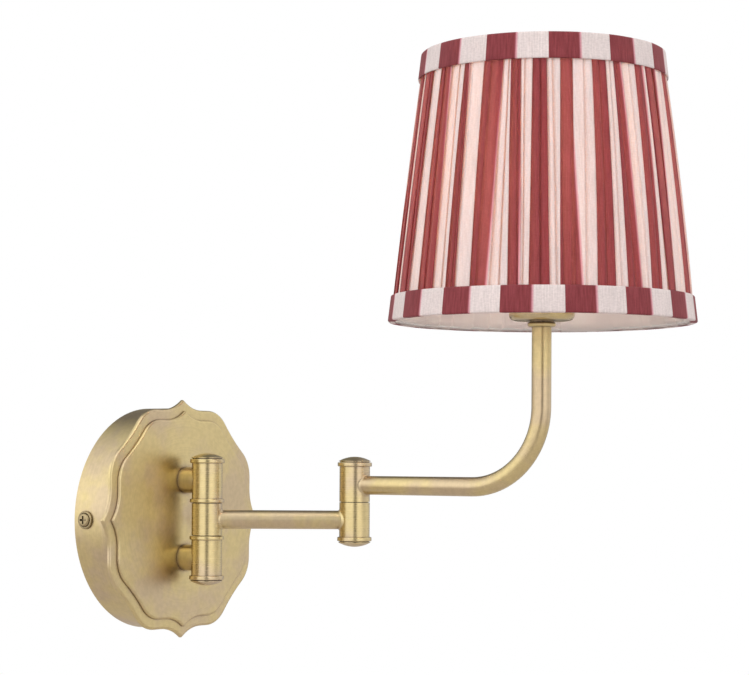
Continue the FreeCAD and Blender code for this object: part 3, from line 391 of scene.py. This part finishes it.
def striped_cloth(name, warp_pitch, weft_pitch, through, painted_brightness):
    """Woven striped cotton that lets some light through, with painted shade and highlight in its weave
    and a painted brightness. Its UV map is the flat cloth in metres.
    """
    material, tree, output = new_material(name)
    flat_place = node(tree, "ShaderNodeUVMap", uv_map="cloth").outputs[0]
    parts = node(tree, "ShaderNodeSeparateXYZ", {0: flat_place})
    across, up = parts.outputs[0], parts.outputs[1]
    waver = noise(tree, stretched(tree, flat_place, (90.0, 14.0, 1.0)), 1.0, 2.0)
    sideways = calc(tree, "MULTIPLY", calc(tree, "SUBTRACT", waver, 0.5), 0.5 * MM)
    red, line = stripes(tree, calc(tree, "ADD", across, sideways))
    warp = threads(tree, across, warp_pitch)
    weft = threads(tree, up, weft_pitch)
    slub = noise(tree, stretched(tree, flat_place, (1300.0, 90.0, 1.0)), 1.0, 4.0, 0.65)
    fleck = noise(tree, stretched(tree, flat_place, (700.0, 1300.0, 1.0)), 1.0, 2.0)
    wash = noise(tree, stretched(tree, flat_place, (60.0, 30.0, 1.0)), 1.0, 3.0)
    red_tone = blend_colour(tree, spread(tree, slub, 0.32, 0.68, 0.75, 0.0), RED, RED_DEEP)
    tone = blend_colour(tree, red, CREAM, red_tone)
    tone = blend_colour(tree, line, tone, PINK)
    relief = calc(tree, "MULTIPLY", calc(tree, "ADD", warp, weft), 0.5)
    # Painted shade and highlight: gaps between threads darker and their crowns lighter, all scaled by
    # the painted brightness, which lights one copy of this cloth more than another.
    weave = spread(tree, relief, 0.15, 0.95, 0.80 * painted_brightness, 1.08 * painted_brightness, smooth=False)
    tone = shaded(tree, tone, weave)
    tone = shaded(tree, tone, spread(tree, slub, 0.32, 0.68, 0.92, 1.06))
    tone = shaded(tree, tone, spread(tree, fleck, 0.3, 0.7, 0.93, 1.05))
    tone = shaded(tree, tone, spread(tree, wash, 0.3, 0.7, 0.96, 1.03))
    height = calc(tree, "ADD", relief, calc(tree, "MULTIPLY", slub, 0.5))
    normal = bump(tree, height, 0.35, 0.12 * MM)
    front = node(tree, "ShaderNodeBsdfPrincipled", {
        "Base Color": tone,
        "Roughness": 0.86,
        "Sheen Weight": 0.12,
        "Sheen Roughness": 0.5,
        "Specular IOR Level": 0.2,
        "Normal": normal,
    })
    glow = blend_colour(tree, red, CREAM_THROUGH, RED_THROUGH)
    thickness = calc(tree, "MULTIPLY", relief, spread(tree, fleck, 0.2, 0.8, 0.7, 1.3))
    glow = shaded(tree, glow, spread(tree, thickness, 0.1, 0.8, 1.5, 0.8))
    back = node(tree, "ShaderNodeBsdfTranslucent", {"Color": glow, "Normal": normal})
    mixed = node(tree, "ShaderNodeMixShader", {0: through, 1: front.outputs[0], 2: back.outputs[0]})
    tree.links.new(mixed.outputs[0], output.inputs[0])
    return material


def lining_cloth(name):
    """The fine cream lining, with slubs that show when it is lit from inside."""
    material, tree, output = new_material(name)
    flat_place = node(tree, "ShaderNodeUVMap", uv_map="cloth").outputs[0]
    parts = node(tree, "ShaderNodeSeparateXYZ", {0: flat_place})
    warp = threads(tree, parts.outputs[0], 0.5 * MM)
    weft = threads(tree, parts.outputs[1], 0.5 * MM)
    slub = noise(tree, stretched(tree, flat_place, (1500.0, 120.0, 1.0)), 1.0, 3.0, 0.6)
    tone = blend_colour(tree, spread(tree, slub, 0.3, 0.7, 0.0, 0.5), LINING, LINING_SLUB)
    normal = bump(tree, calc(tree, "ADD", calc(tree, "ADD", warp, weft), slub), 0.25, 0.1 * MM)
    inputs = {"Base Color": tone, "Roughness": 0.8, "Normal": normal}
    front = node(tree, "ShaderNodeBsdfPrincipled", inputs)
    inputs = {"Color": (*LINING_THROUGH, 1.0), "Normal": normal}
    back = node(tree, "ShaderNodeBsdfTranslucent", inputs)
    mixed = node(tree, "ShaderNodeMixShader", {0: 0.45, 1: front.outputs[0], 2: back.outputs[0]})
    tree.links.new(mixed.outputs[0], output.inputs[0])
    return material


# ---------- mesh helpers

def mesh_piece(name, points, faces, flat_places=None):
    """A smooth piece, with the UV map "cloth" where each point has a place on the flat cloth."""
    mesh = bpy.data.meshes.new(name)
    mesh.from_pydata([tuple(p) for p in points], [], faces)
    if flat_places is not None:
        layer = mesh.uv_layers.new(name="cloth")
        for loop in mesh.loops:
            layer.data[loop.index].uv = flat_places[loop.vertex_index]
    mesh.polygons.foreach_set("use_smooth", [True] * len(mesh.polygons))
    piece = bpy.data.objects.new(name, mesh)
    bpy.context.collection.objects.link(piece)
    return piece


def grid_faces(columns, rows, closed):
    """The quads of a grid whose points run column by column within each row."""
    faces = []
    last = columns if closed else columns - 1
    for row in range(rows - 1):
        for column in range(last):
            right = (column + 1) % columns
            low = row * columns
            high = low + columns
            faces.append((low + column, low + right, high + right, high + column))
    return faces


def on_shade(angle, radius, z):
    """A point at an angle and radius round the shade's axis."""
    return Vector((STEM.x + radius * math.cos(angle), STEM.y + radius * math.sin(angle), z))


def smooth_step(value, low, high):
    """From 0 at low to 1 at high, with level ends."""
    t = min(1.0, max(0.0, (value - low) / (high - low)))
    return t * t * (3 - 2 * t)


def finish_piece(piece, material, body):
    """Gives a piece its material and its body."""
    piece.data.materials.append(material)
    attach(piece, body)
    return piece


# ---------- the gathered cover

COVER_LOW = SHADE_BOTTOM + 1.05 * MM
COVER_HIGH = SHADE_TOP - 1.05 * MM
SINGLE_RUN = 9      # points along a run of cloth between two folds
BACK_RUN = 3        # points along the run that turns back under it


def drift(waves, k, size):
    """How far fold k has wandered: a sum of sines round the shade."""
    total = sum(share * math.sin(2 * math.pi * count * k / FOLDS + phase)
                for count, phase, share in waves)
    return size * total / 2


def random_waves(rng):
    """The sines of two drifts, one for the bottom of the shade and one for the top."""
    return [
        [(count, rng.uniform(0, 2 * math.pi), rng.uniform(0.5, 1.0)) for count in (5, 8, 11, 14, 19)]
        for _ in range(2)
    ]


def fold_places(rng):
    """Each fold's place on the cloth: one hides a stripe's edge, and the next lies in the stripe."""
    places = []
    for k in range(FOLDS):
        edge = k // 2 * STRIPE
        if k % 2 == 0:
            places.append(edge - rng.uniform(0.3, 2.4) * MM)
        else:
            places.append(edge + (0.5 + rng.uniform(-0.14, 0.14)) * STRIPE)
    return places


def seen_angles(rng, places):
    """The angle that each run of cloth between two folds takes up round the shade."""
    after = places[1:] + [places[0] + CLOTH_LENGTH]
    widths = []
    for k in range(FOLDS):
        low, high = SHOWS_FIRST if k % 2 == 0 else SHOWS_SECOND
        widths.append((after[k] - places[k]) * rng.uniform(low, high))
    return [width * 2 * math.pi / sum(widths) for width in widths]


def fold_plan():
    """Each fold's angle and place on the cloth at the bottom and the top, and how it lies."""
    rng = random.Random(COVER_SEED)
    cloth_waves = random_waves(rng)
    angle_waves = random_waves(rng)
    places = fold_places(rng)
    seen = seen_angles(rng, places)
    folds = []
    angle = 0.0
    for k, place in enumerate(places):
        folds.append({
            "angle": [
                angle + drift(waves, k, ANGLE_DRIFT) + math.radians(rng.uniform(-0.35, 0.35))
                for waves in angle_waves
            ],
            "cloth": [
                place + drift(waves, k, CLOTH_DRIFT) + rng.uniform(-0.6, 0.6) * MM
                for waves in cloth_waves
            ],
            "loft": rng.uniform(0.2, 1.0),
            "faces_back": rng.random() < 0.16,
            "sway": rng.uniform(-0.25, 0.25),
            "phase": rng.uniform(0, 2 * math.pi),
        })
        angle += seen[k]
    return folds


def fold_state(fold, t):
    """A fold's angle and place on the cloth at a height, from 0 at the bottom to 1 at the top."""
    sway = math.radians(fold["sway"]) * math.sin(math.pi * t) * math.sin(fold["phase"] + 3.0 * t)
    angle = fold["angle"][0] * (1 - t) + fold["angle"][1] * t + sway
    cloth = fold["cloth"][0] * (1 - t) + fold["cloth"][1] * t
    return angle, cloth


def layer_inset(level, loft, t, angle):
    """How far inside the bands' face a layer lies: level 0 is the inner layer and 1 the outer."""
    swell = math.sin(math.pi * min(1.0, max(0.0, (t - 0.06) / 0.88))) ** 0.6
    bulge = swell * (0.35 + 0.55 * math.cos(angle - math.radians(300))) * MM
    inner = 2.35 * MM - 0.3 * bulge
    outer = 1.3 * MM - swell * (0.2 + 0.5 * loft) * MM - bulge * 0.7
    return inner + (outer - inner) * level


def round_and_on(values, turn):
    """Values once round, with the last one put before the first and the first one after the last."""
    return [values[-1] - turn] + values + [values[0] + turn]


def fold_tucks(angles, cloths, radius):
    """How far each fold is tucked back: half of the cloth that it hides, but never past its own run."""
    tucks = []
    for k in range(FOLDS):
        hidden = cloths[k + 2] - cloths[k + 1] - radius * (angles[k + 2] - angles[k + 1])
        room = 0.7 * (angles[k + 1] - angles[k])
        tucks.append(min(room, max(0.4 * MM, hidden / 2) / radius))
    return tucks


def cover_row(folds, z):
    """One level of the cover: (angle, radius, place on the cloth) all the way round."""
    t = (z - COVER_LOW) / (COVER_HIGH - COVER_LOW)
    radius = shade_r(z)
    states = [fold_state(fold, t) for fold in folds]
    angles = round_and_on([angle for angle, _ in states], 2 * math.pi)
    cloths = round_and_on([cloth for _, cloth in states], CLOTH_LENGTH)
    tucks = fold_tucks(angles, cloths, radius)
    places = []
    for k, fold in enumerate(folds):
        before = folds[k - 1]
        angle_a, angle_b = angles[k], angles[k + 1]
        cloth_b = cloths[k + 1]
        tuck = tucks[k]
        start = angle_a - tucks[k - 1]
        run_cloth = radius * (angle_b - start)
        first = 1.0 if before["faces_back"] else 0.0
        last = 0.0 if fold["faces_back"] else 1.0
        rise_to = max(angle_b - tuck, angle_a + 0.25 * (angle_b - angle_a))
        for n in range(SINGLE_RUN):
            share = n / (SINGLE_RUN - 1)
            angle = start + (angle_b - start) * share
            level = first + (last - first) * smooth_step(angle, angle_a, rise_to)
            arch = 0.35 * math.sin(math.pi * share) * (1 if first == last else 0.35)
            loft = before["loft"] * (1 - share) + fold["loft"] * share
            inset = layer_inset(level + arch * (1 - level), loft, t, angle)
            places.append((angle, radius - inset, cloth_b - run_cloth * (1 - share)))
        for n in range(1, BACK_RUN + 1):
            share = n / (BACK_RUN + 1)
            angle = angle_b - tuck * share
            level = last + (0.5 - last) * smooth_step(share, 0.0, 0.4)
            next_first = 1.0 if fold["faces_back"] else 0.0
            level += (next_first - level) * smooth_step(share, 0.6, 1.0)
            inset = layer_inset(level, fold["loft"], t, angle)
            places.append((angle, radius - inset, cloth_b + tuck * radius * share))
    return places


def ripple(cloth, t):
    """Fine gathers that fade away from the bands."""
    near_top = math.exp(-(1 - t) / 0.16)
    near_bottom = math.exp(-t / 0.13)
    wave = math.sin(cloth / (0.42 * MM)) + 0.6 * math.sin(cloth / (0.27 * MM) + 1.3)
    return (near_top + near_bottom) * wave * 0.11 * MM


def gathered_cover(material):
    """The striped cover, gathered round the frame and held under the two bands."""
    folds = fold_plan()
    points = []
    flat_places = []
    columns = 0
    for row in range(ROWS):
        t = row / (ROWS - 1)
        z = COVER_LOW + (COVER_HIGH - COVER_LOW) * t
        places = cover_row(folds, z)
        columns = len(places)
        for angle, radius, cloth in places:
            points.append(on_shade(angle, radius + ripple(cloth, t), z))
            flat_places.append((cloth, z - COVER_LOW))
    faces = grid_faces(columns, ROWS, True)
    piece = mesh_piece("gathered_cover", points, faces, flat_places)
    close_cloth(piece, CLOTH_LENGTH)
    finish_piece(piece, material, "outer_arm")
    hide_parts("shade_cover")
    return piece


def close_cloth(piece, length):
    """Where the cloth joins end to end, carries its flat places on past the end instead of back to 0."""
    layer = piece.data.uv_layers["cloth"]
    for face in piece.data.polygons:
        first = layer.data[face.loop_indices[0]].uv[0]
        for index in face.loop_indices:
            if layer.data[index].uv[0] < first - length / 2:
                layer.data[index].uv[0] += length


# ---------- bands and lining

BAND_COLUMNS = 360
BAND_LAP = math.radians(4)
LINING_LAP = math.radians(11)
LIP_INSET = 3.6 * MM


def lap_rise(angle, height):
    """How far the end of a strip of cloth stands off its start, which it laps over at the seam."""
    join = SEAM_ANGLE + 2 * math.pi
    return height * smooth_step(angle, join - 0.25, join - 0.02)


def band_profile():
    """A band's section as (inset, height above its outer rim), from its folded top edge to its lip."""
    corner = 0.9 * MM
    hem = 0.5 * MM
    tall = BAND_HEIGHT
    profile = [(1.0 * MM, tall - 3.0 * MM), (1.0 * MM, tall - hem)]
    for k in range(1, 5):
        a = math.pi * k / 4
        profile.append((hem + hem * math.cos(a), tall - hem + hem * math.sin(a)))
    for k in range(1, 8):
        profile.append((0.0, tall - hem - (tall - hem - corner) * k / 8))
    for k in range(5):
        a = math.pi / 2 * k / 4
        profile.append((corner - corner * math.cos(a), corner - corner * math.sin(a)))
    profile.append((LIP_INSET, 0.05 * MM))
    return profile


def edge_band(name, bottom, stripe_edge, material):
    """A band of striped cloth folded round one end of the shade, joined at the back."""
    profile = band_profile()
    rng = random.Random(3 if bottom else 5)
    lumps = [
        (rng.randint(3, 23), rng.uniform(0, 2 * math.pi), rng.uniform(0.02, 0.06) * MM)
        for _ in range(9)
    ]
    middle_z = SHADE_BOTTOM + BAND_HEIGHT / 2 if bottom else SHADE_TOP - BAND_HEIGHT / 2
    middle_r = shade_r(middle_z)
    points = []
    flat_places = []
    run = 0.0
    for step, (inset, height) in enumerate(profile):
        if step:
            before = profile[step - 1]
            run += math.hypot(inset - before[0], height - before[1])
        z = SHADE_BOTTOM + height if bottom else SHADE_TOP - height
        for column in range(BAND_COLUMNS + 1):
            angle = SEAM_ANGLE + (2 * math.pi + BAND_LAP) * column / BAND_COLUMNS
            lump = sum(size * math.sin(count * angle + phase) for count, phase, size in lumps)
            lump = lump * (1 if inset < MM else 0.2) + lap_rise(angle, 0.35 * MM)
            points.append(on_shade(angle, shade_r(z) - inset + lump, z))
            flat_places.append(((angle - stripe_edge) * middle_r + 21 * STRIPE, run))
    faces = grid_faces(BAND_COLUMNS + 1, len(profile), False)
    if bottom:
        faces = [face[::-1] for face in faces]
    piece = mesh_piece(name, points, faces, flat_places)
    finish_piece(piece, material, "outer_arm")
    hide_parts("shade_band_bottom" if bottom else "shade_band_top")
    return piece


LINING_COLUMNS = 720
LINING_ROWS = 40
LINING_INSET = 5.7 * MM
LINING_FLARE = 2.6 * MM      # how far its ends turn outwards over the bands' lips
LINING_LOW = SHADE_BOTTOM + 0.02 * MM
LINING_HIGH = SHADE_TOP - 0.02 * MM
PLEATS = 46


def lining_pleat(angle, t, pleats):
    """The soft relief of the lining's tucks: each rises slowly and drops back at its edge."""
    depth = 0.0
    for place, width, size in pleats:
        away = (angle - place + math.pi) % (2 * math.pi) - math.pi
        if -width < away < 0.10 * width:
            depth = max(depth, size * (1 + away / width if away < 0 else 1 - away / (0.10 * width)))
    return depth * (0.6 + 0.4 * abs(2 * t - 1))


def shade_lining(material):
    """The cream lining inside the frame, with small tucks that take up the taper."""
    rng = random.Random(8)
    pleats = []
    for k in range(PLEATS):
        place = 2 * math.pi * (k + rng.uniform(-0.3, 0.3)) / PLEATS
        pleats.append((place % (2 * math.pi), rng.uniform(0.06, 0.13), rng.uniform(0.3, 0.9) * MM))
    points = []
    flat_places = []
    for row in range(LINING_ROWS):
        t = row / (LINING_ROWS - 1)
        t = t - 0.06 * math.sin(2 * math.pi * t)
        z = LINING_LOW + (LINING_HIGH - LINING_LOW) * t
        from_rim = min(z - LINING_LOW, LINING_HIGH - z)
        flare = LINING_FLARE * max(0.0, 1 - from_rim / LINING_FLARE) ** 2
        for column in range(LINING_COLUMNS + 1):
            angle = SEAM_ANGLE + (2 * math.pi + LINING_LAP) * column / LINING_COLUMNS
            tuck = lining_pleat(angle % (2 * math.pi), t, pleats)
            tuck = min(tuck, 0.1 * MM) if angle < SEAM_ANGLE + LINING_LAP else tuck
            lap = lap_rise(angle, 0.7 * MM)
            tuck = tuck * (1 - lap / (0.7 * MM))
            points.append(on_shade(angle, shade_r(z) - LINING_INSET + tuck + flare - lap, z))
            flat_places.append(((angle - SEAM_ANGLE) * BOTTOM_R, z - LINING_LOW))
    faces = grid_faces(LINING_COLUMNS + 1, LINING_ROWS, False)
    piece = mesh_piece("pleated_lining", points, faces, flat_places)
    finish_piece(piece, material, "outer_arm")
    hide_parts("shade_lining")
    return piece


# ---------- brazed joints

BARREL_R = 8.15 * MM
FILLET = 1.1 * MM
FILLET_COLUMNS = 64
FILLET_STEPS = 6


def braze_fillet(name, centre, towards, body, material):
    """The concave bead of braze round a tube where it meets an upright barrel."""
    side = Vector((0, 0, 1)).cross(towards)
    up = Vector((0, 0, 1))
    points = []
    for column in range(FILLET_COLUMNS):
        a = 2 * math.pi * column / FILLET_COLUMNS
        spoke = up * math.cos(a) + side * math.sin(a)
        meet = math.sqrt(BARREL_R ** 2 - (TUBE_R * math.sin(a)) ** 2)
        wide = TUBE_R + FILLET
        on_barrel_along = math.sqrt(max(0.0, BARREL_R ** 2 - (wide * math.sin(a)) ** 2))
        on_tube = spoke * (TUBE_R - 0.03 * MM) + towards * (meet + FILLET)
        corner = spoke * TUBE_R + towards * meet
        on_barrel = spoke * wide + towards * (on_barrel_along - 0.03 * MM)
        for step in range(FILLET_STEPS):
            t = step / (FILLET_STEPS - 1)
            bend = on_tube * (1 - t) ** 2 + corner * (2 * t * (1 - t)) + on_barrel * t ** 2
            points.append(centre + bend)
        points.append(centre + spoke * (TUBE_R - 0.3 * MM) + towards * (meet - 0.3 * MM))
    ring = FILLET_STEPS + 1
    faces = []
    for column in range(FILLET_COLUMNS):
        after = (column + 1) % FILLET_COLUMNS
        for step in range(ring):
            beyond = (step + 1) % ring
            left = column * ring
            right = after * ring
            faces.append((left + step, right + step, right + beyond, left + beyond))
    piece = mesh_piece(name, points, faces)
    return finish_piece(piece, material, body)


def upright_centre(name):
    """The middle of an upright round node."""
    low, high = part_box(name)
    return Vector([(a + b) / 2 for a, b in zip(low, high)])


# ---------- materials on the CAD nodes

def dress(names, material):
    """Puts one material on several CAD nodes."""
    for name in names:
        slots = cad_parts[name].material_slots
        if len(slots) == 0:
            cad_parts[name].data.materials.append(material)
        for place in slots:
            place.material = material


def dress_metal():
    """The brass of the backplate, hub, elbow, arms and dish, and the small metal parts."""
    rings = antique_brass("brass_plate", "rings", 0.6, 0.33, "Y")
    drum = antique_brass("brass_drum", (26.0, 2600.0, 26.0), 0.5, 0.36, "Y")
    turned = antique_brass("brass_turned", (30.0, 30.0, 3000.0), 0.55, 0.30, "Z")
    posts = antique_brass("brass_posts", (40.0, 3000.0, 40.0), 0.5, 0.34, "Y")
    inner_tube = antique_brass("brass_inner_tube", "tube", 0.6, 0.34)
    outer_tube = antique_brass("brass_outer_tube", "tube", 0.6, 0.34, bend_centre=BEND_CENTRE)
    dress(["scalloped_plate", "scalloped_panel"], rings)
    dress(["backplate_drum"], drum)
    dress(["post_top", "post_bottom"], posts)
    dress(["inner_arm_tube"], inner_tube)
    dress(["outer_arm_tube"], outer_tube)
    names = ["swing_barrel", "stem_collar", "dish"]
    names += ["hub_" + part for part in ("barrel_top", "barrel_bottom", "ring_upper", "ring_lower")]
    names += ["hub_" + part for part in ("end_ring_top", "end_ring_bottom", "cap_top", "cap_bottom")]
    names += ["elbow_" + part for part in ("barrel_upper", "barrel_lower", "ring_top", "ring_bottom")]
    names += ["elbow_cap_top", "elbow_cap_bottom"]
    dress(names, turned)
    screw = plain_metal("aged_screw", (0.50, 0.40, 0.22), (0.09, 0.07, 0.05), 0.34, 1.0)
    dress(["side_screws", "side_screw_collars", "earth_screw"], screw)
    contact = plain_metal("contact_brass", (0.80, 0.64, 0.34), (0.45, 0.33, 0.16), 0.28, 1.0)
    dress(["terminal_sleeves", "terminal_screws", "lampholder_contacts"], contact)
    steel = plain_metal("zinc_steel", (0.66, 0.67, 0.66), (0.40, 0.40, 0.38), 0.36, 0.6)
    names = ["wall_bracket", "bracket_ears", "earth_washer", "post_washers", "post_nuts", "hub_pin"]
    names += ["hub_pin_nuts", "hub_spring_washers", "elbow_pin", "elbow_pin_nuts"]
    dress(names, steel)
    cap = plain_metal("lamp_cap", (0.72, 0.72, 0.70), (0.45, 0.44, 0.42), 0.25, 0.8)
    dress(["bulb_cap"], cap)
    return turned


def dress_plastic():
    """The lampholder, terminal block, flex, washers, bulb and wire frame."""
    holder = moulded_plastic("holder_plastic", (0.86, 0.84, 0.80), (0.62, 0.59, 0.54), 0.35)
    dress(["lampholder_base", "lampholder_core", "lampholder_shell", "shade_nuts"], holder)
    block = moulded_plastic("block_plastic", (0.84, 0.83, 0.79), (0.6, 0.58, 0.54), 0.5)
    dress(["terminal_block"], block)
    flex = moulded_plastic("flex_sheath", (0.80, 0.77, 0.70), (0.58, 0.54, 0.48), 0.5)
    dress(["base_flex", "inner_arm_flex", "outer_arm_flex"], flex)
    fibre = moulded_plastic("friction_fibre", (0.34, 0.27, 0.17), (0.22, 0.17, 0.11), 0.7)
    dress(["hub_friction_washers", "elbow_friction_washers"], fibre)
    wire = moulded_plastic("frame_wire", (0.82, 0.81, 0.78), (0.6, 0.58, 0.55), 0.4)
    dress(["frame_rings", "frame_struts", "shade_carrier"], wire)
    strip = moulded_plastic("lamp_strip", (0.9, 0.75, 0.4), (0.7, 0.5, 0.2), 0.5)
    dress(["bulb_filaments"], strip)
    dress(["bulb_glass"], lit_glass("lit_bulb"))


def build_fabric():
    """The cover, its two bands and the lining."""
    # The last number is a painted brightness: the cover's cloth is painted 1.17 times as light and the
    # bands' 0.95, painted light on two copies of one cloth.
    cover_cloth = striped_cloth("striped_cover_cloth", 0.72 * MM, 0.60 * MM, 0.25, 1.17)
    band_cloth = striped_cloth("striped_band_cloth", 0.76 * MM, 0.60 * MM, 0.05, 0.95)
    gathered_cover(cover_cloth)
    edge_band("bottom_band", True, BOTTOM_BAND_EDGE, band_cloth)
    edge_band("top_band", False, TOP_BAND_EDGE, band_cloth)
    shade_lining(lining_cloth("cream_lining_cloth"))


def build_brazing(material):
    """The beads of braze at both ends of the inner arm and at the outer arm's start."""
    hub = upright_centre("swing_barrel")
    elbow = upright_centre("elbow_barrel_lower")
    towards = Vector((elbow.x - hub.x, elbow.y - hub.y, 0)).normalized()
    outwards = Vector((0, -1, 0))
    arm_low, arm_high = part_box("inner_arm_tube")
    arm_z = (arm_low[2] + arm_high[2]) / 2
    outer_z = ARM_LOW[2] + TUBE_R
    at_hub = Vector((hub.x, hub.y, arm_z))
    at_elbow = Vector((elbow.x, elbow.y, arm_z))
    above_elbow = Vector((elbow.x, elbow.y, outer_z))
    braze_fillet("braze_hub", at_hub, towards, "inner_arm", material)
    braze_fillet("braze_elbow_inner", at_elbow, -towards, "inner_arm", material)
    braze_fillet("braze_elbow_outer", above_elbow, outwards, "outer_arm", material)


# ---------- studio

FLOOR_Z = -0.40
FLOOR_HALF = 1.6
STUDIO_STRENGTH = 1.25
LIGHT_FROM_BELOW = (1.0, 0.87, 0.93)
LIGHT_FROM_ABOVE = (1.0, 0.99, 0.985)
STUDIO_LEVELS = [           # brightness of the studio by the share of a turn from the camera's side
    (0.000, 0.12),
    (0.024, 0.18),
    (0.042, 1.00),
    (0.130, 0.92),
    (0.200, 0.55),
    (0.300, 0.66),
    (0.400, 0.42),
    (0.460, 0.12),
    (0.540, 0.10),
    (0.620, 0.45),
    (0.740, 0.85),
    (0.870, 0.95),
    (0.955, 1.00),
    (0.976, 0.18),
    (1.000, 0.12),
]
STUDIO_HEIGHTS = [          # brightness by height, from straight down to straight up
    (0.00, 0.34),
    (0.28, 0.46),
    (0.45, 1.02),
    (0.56, 1.32),
    (0.72, 1.32),
    (1.00, 0.98),
]


def studio_floor():
    """A pale floor well below the light."""
    corners = [(-1, -1), (1, -1), (1, 1), (-1, 1)]
    points = [(x * FLOOR_HALF, y * FLOOR_HALF, FLOOR_Z) for x, y in corners]
    floor = mesh_piece("studio_floor", points, [(0, 1, 2, 3)])
    material, tree, output = new_material("pale_floor")
    tone = noise(tree, object_place(tree), 6.0)
    colour = blend_colour(tree, tone, (0.66, 0.61, 0.60), (0.72, 0.67, 0.66))
    surface = node(tree, "ShaderNodeBsdfPrincipled", {"Base Color": colour, "Roughness": 0.7})
    tree.links.new(surface.outputs[0], output.inputs[0])
    floor.data.materials.append(material)


def level_ramp(tree, value, levels):
    """A grey that follows a list of (place, brightness), with straight lines between them."""
    ramp = node(tree, "ShaderNodeValToRGB", {0: value})
    points = ramp.color_ramp.elements
    for place, level in levels[1:-1]:
        points.new(place)
    for point, (place, level) in zip(points, levels):
        point.position = place
        point.color = (level, level, level, 1.0)
    return ramp.outputs[0]


def studio_world():
    """Soft light, dimmer behind the camera and beyond the object, and a white backdrop."""
    world = bpy.data.worlds.new("studio")
    bpy.context.scene.world = world
    world.use_nodes = True
    tree = world.node_tree
    tree.nodes.clear()
    direction = node(tree, "ShaderNodeTexCoord").outputs["Generated"]
    parts = node(tree, "ShaderNodeSeparateXYZ", {0: direction})
    angle = calc(tree, "ARCTAN2", parts.outputs[1], parts.outputs[0])
    camera_angle = math.atan2(CAMERA_PLACE[1], CAMERA_PLACE[0])
    turn = calc(tree, "DIVIDE", calc(tree, "SUBTRACT", angle, camera_angle), 2 * math.pi)
    turn = calc(tree, "FRACT", calc(tree, "ADD", calc(tree, "FRACT", turn), 1.0))
    around = level_ramp(tree, turn, STUDIO_LEVELS)
    rise = spread(tree, parts.outputs[2], -1.0, 1.0, smooth=False)
    height = level_ramp(tree, rise, STUDIO_HEIGHTS)
    above = spread(tree, parts.outputs[2], -0.6, 0.1)
    light = blend_colour(tree, above, LIGHT_FROM_BELOW, LIGHT_FROM_ABOVE)
    light = blend_colour(tree, 1.0, light, around, "MULTIPLY")
    light = blend_colour(tree, 1.0, light, height, "MULTIPLY")
    studio = node(tree, "ShaderNodeBackground", {"Color": light, "Strength": STUDIO_STRENGTH})
    backdrop = node(tree, "ShaderNodeBackground", {"Color": (1.0, 1.0, 1.0, 1.0), "Strength": 1.0})
    seen = node(tree, "ShaderNodeLightPath").outputs["Is Camera Ray"]
    mixed = node(tree, "ShaderNodeMixShader", {0: seen, 1: studio.outputs[0], 2: backdrop.outputs[0]})
    output = tree.nodes.new("ShaderNodeOutputWorld")
    tree.links.new(mixed.outputs[0], output.inputs[0])


def area_light(name, place, aim, size, power):
    """A soft square light that faces a point."""
    data = bpy.data.lights.new(name, "AREA")
    data.size = size
    data.energy = power
    lamp = bpy.data.objects.new(name, data)
    lamp.location = place
    lamp.rotation_euler = (Vector(aim) - Vector(place)).to_track_quat("-Z", "Y").to_euler()
    bpy.context.collection.objects.link(lamp)


def studio_camera():
    """The camera, at the place and angle of a picture taken from the left and a little below."""
    data = bpy.data.cameras.new("camera")
    data.lens = CAMERA_LENS
    data.shift_x, data.shift_y = CAMERA_SHIFT
    camera = bpy.data.objects.new("camera", data)
    right = Vector(CAMERA_RIGHT).normalized()
    back = right.cross(Vector(CAMERA_UP)).normalized()
    up = back.cross(right)
    turn = Matrix((right, up, back)).transposed()
    camera.matrix_world = Matrix.Translation(CAMERA_PLACE) @ turn.to_4x4()
    bpy.context.collection.objects.link(camera)
    bpy.context.scene.camera = camera


def studio():
    """The floor, the light and the camera."""
    studio_floor()
    studio_world()
    area_light("overhead_softbox", (-0.3, -0.7, 1.1), (0, -0.12, 0.05), 0.8, 1.5)
    studio_camera()
    bpy.context.scene.view_settings.view_transform = "Standard"


studio()
brass = dress_metal()
dress_plastic()
build_fabric()
build_brazing(brass)
